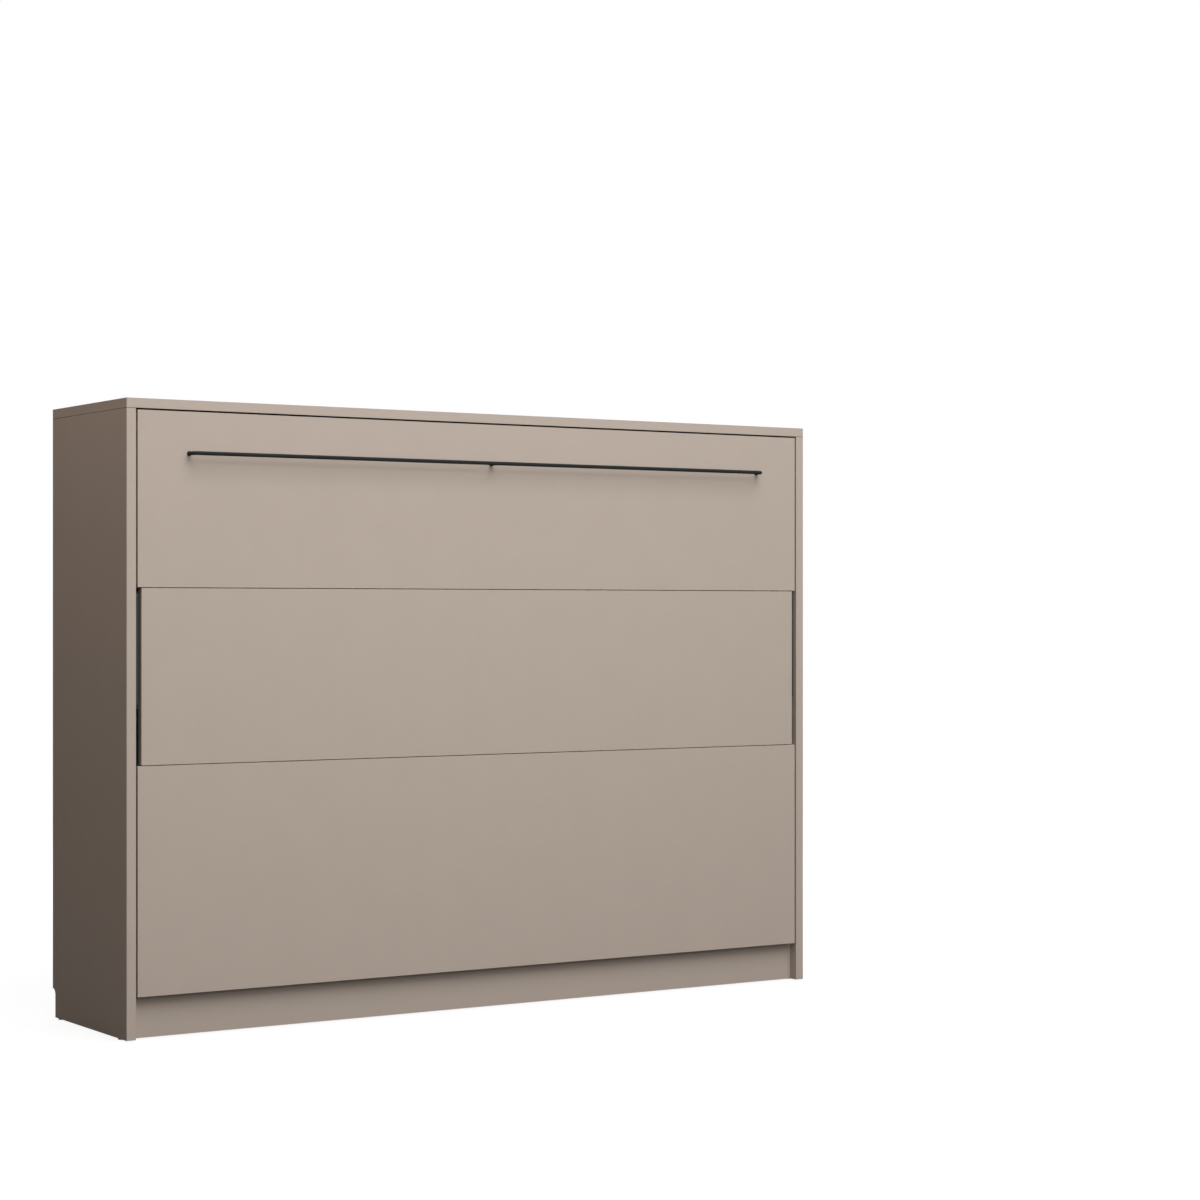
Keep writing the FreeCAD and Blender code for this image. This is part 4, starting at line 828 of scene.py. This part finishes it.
def sky():
    """Even soft surroundings that light the object faintly, and show white to the camera."""
    world = bpy.data.worlds.new("studio")
    world.use_nodes = True
    scene.world = world
    tree = world.node_tree
    background = tree.nodes["Background"]
    choice = tree.nodes.new("ShaderNodeMix")
    choice.data_type = "RGBA"
    tree.links.new(seen_directly(tree), choice.inputs["Factor"])
    choice.inputs["A"].default_value = shade(WARM, SKY_LEVEL)
    choice.inputs["B"].default_value = WHITE
    tree.links.new(choice.outputs["Result"], background.inputs["Color"])


floor()
sky()


# Lights: each soft box's place, its width and height, and its power in watts

DAYLIGHT = (1.0, 1.0, 1.0)
COOL = (0.93, 1.0, 1.03)
FRONT_AIM = (0.0, -0.2, 0.8)
FRONT_LAMP_WIDTH = 6.0
LOW_FRONT_PLACE = (0.0, -3.7, 2.3)
LOW_FRONT_SIZE = (FRONT_LAMP_WIDTH, 3.6)
LOW_FRONT_POWER = 102.0
HIGH_FRONT_PLACE = (0.0, -5.6, 7.1)
HIGH_FRONT_SIZE = (FRONT_LAMP_WIDTH, 5.7)
HIGH_FRONT_POWER = 384.0
OVERHEAD_PLACE = (0.0, -3.3, 7.8)
OVERHEAD_SIZE = (FRONT_LAMP_WIDTH, 4.4)
OVERHEAD_POWER = 216.0
LEFT_PLACE = (-2.3, -0.2, 3.5)
LEFT_AIM = (-1.0, 0.0, 1.0)
LEFT_SIZE = (1.4, 1.4)
LEFT_POWER = 24.5
RIGHT_PLACE = (4.6, 0.6, 3.0)
RIGHT_AIM = (1.0, 0.0, 0.8)
RIGHT_SIZE = (2.5, 2.5)
RIGHT_POWER = 120.0
REAR_PLACE = (0.4, 4.6, 3.2)
REAR_AIM = (0.0, 0.2, 0.8)
REAR_SIZE = (3.0, 3.0)
REAR_POWER = 200.0


def lamp(name, place, aim, size, power, tint):
    """A soft box at a place, turned to its aim, that the camera doesn't see."""
    light = bpy.data.lights.new(name, "AREA")
    light.shape = "RECTANGLE"
    light.size, light.size_y = size
    light.energy = power
    light.color = tint
    piece = bpy.data.objects.new(name, light)
    piece.location = place
    piece.rotation_euler = (Vector(aim) - Vector(place)).to_track_quat("-Z", "Y").to_euler()
    piece.visible_camera = False
    scene.collection.objects.link(piece)


lamp("low front", LOW_FRONT_PLACE, FRONT_AIM, LOW_FRONT_SIZE, LOW_FRONT_POWER, DAYLIGHT)
lamp("high front", HIGH_FRONT_PLACE, FRONT_AIM, HIGH_FRONT_SIZE, HIGH_FRONT_POWER, DAYLIGHT)
lamp("overhead", OVERHEAD_PLACE, FRONT_AIM, OVERHEAD_SIZE, OVERHEAD_POWER, DAYLIGHT)
lamp("left", LEFT_PLACE, LEFT_AIM, LEFT_SIZE, LEFT_POWER, WARM)
lamp("right", RIGHT_PLACE, RIGHT_AIM, RIGHT_SIZE, RIGHT_POWER, COOL)
lamp("rear", REAR_PLACE, REAR_AIM, REAR_SIZE, REAR_POWER, COOL)


# Camera, its lens and sensor in millimetres

CAMERA_PLACE = (-3.757, -6.5725, 1.0778)
CAMERA_TILT = math.radians(90)
CAMERA_TURN = math.radians(-32.935)
SENSOR_WIDTH = 36.0
LENS_LENGTH = 81.36
LENS_SHIFT_SHARE = 0.01023
VIEW_END = 100.0


def camera():
    """The photograph's level camera, to the left of the bed and a little above its middle."""
    lens = bpy.data.cameras.new("camera")
    lens.sensor_width = SENSOR_WIDTH
    lens.lens = LENS_LENGTH
    lens.shift_y = LENS_SHIFT_SHARE
    lens.clip_end = VIEW_END
    piece = bpy.data.objects.new("camera", lens)
    piece.location = CAMERA_PLACE
    piece.rotation_euler = (CAMERA_TILT, 0.0, CAMERA_TURN)
    scene.collection.objects.link(piece)
    scene.camera = piece


camera()
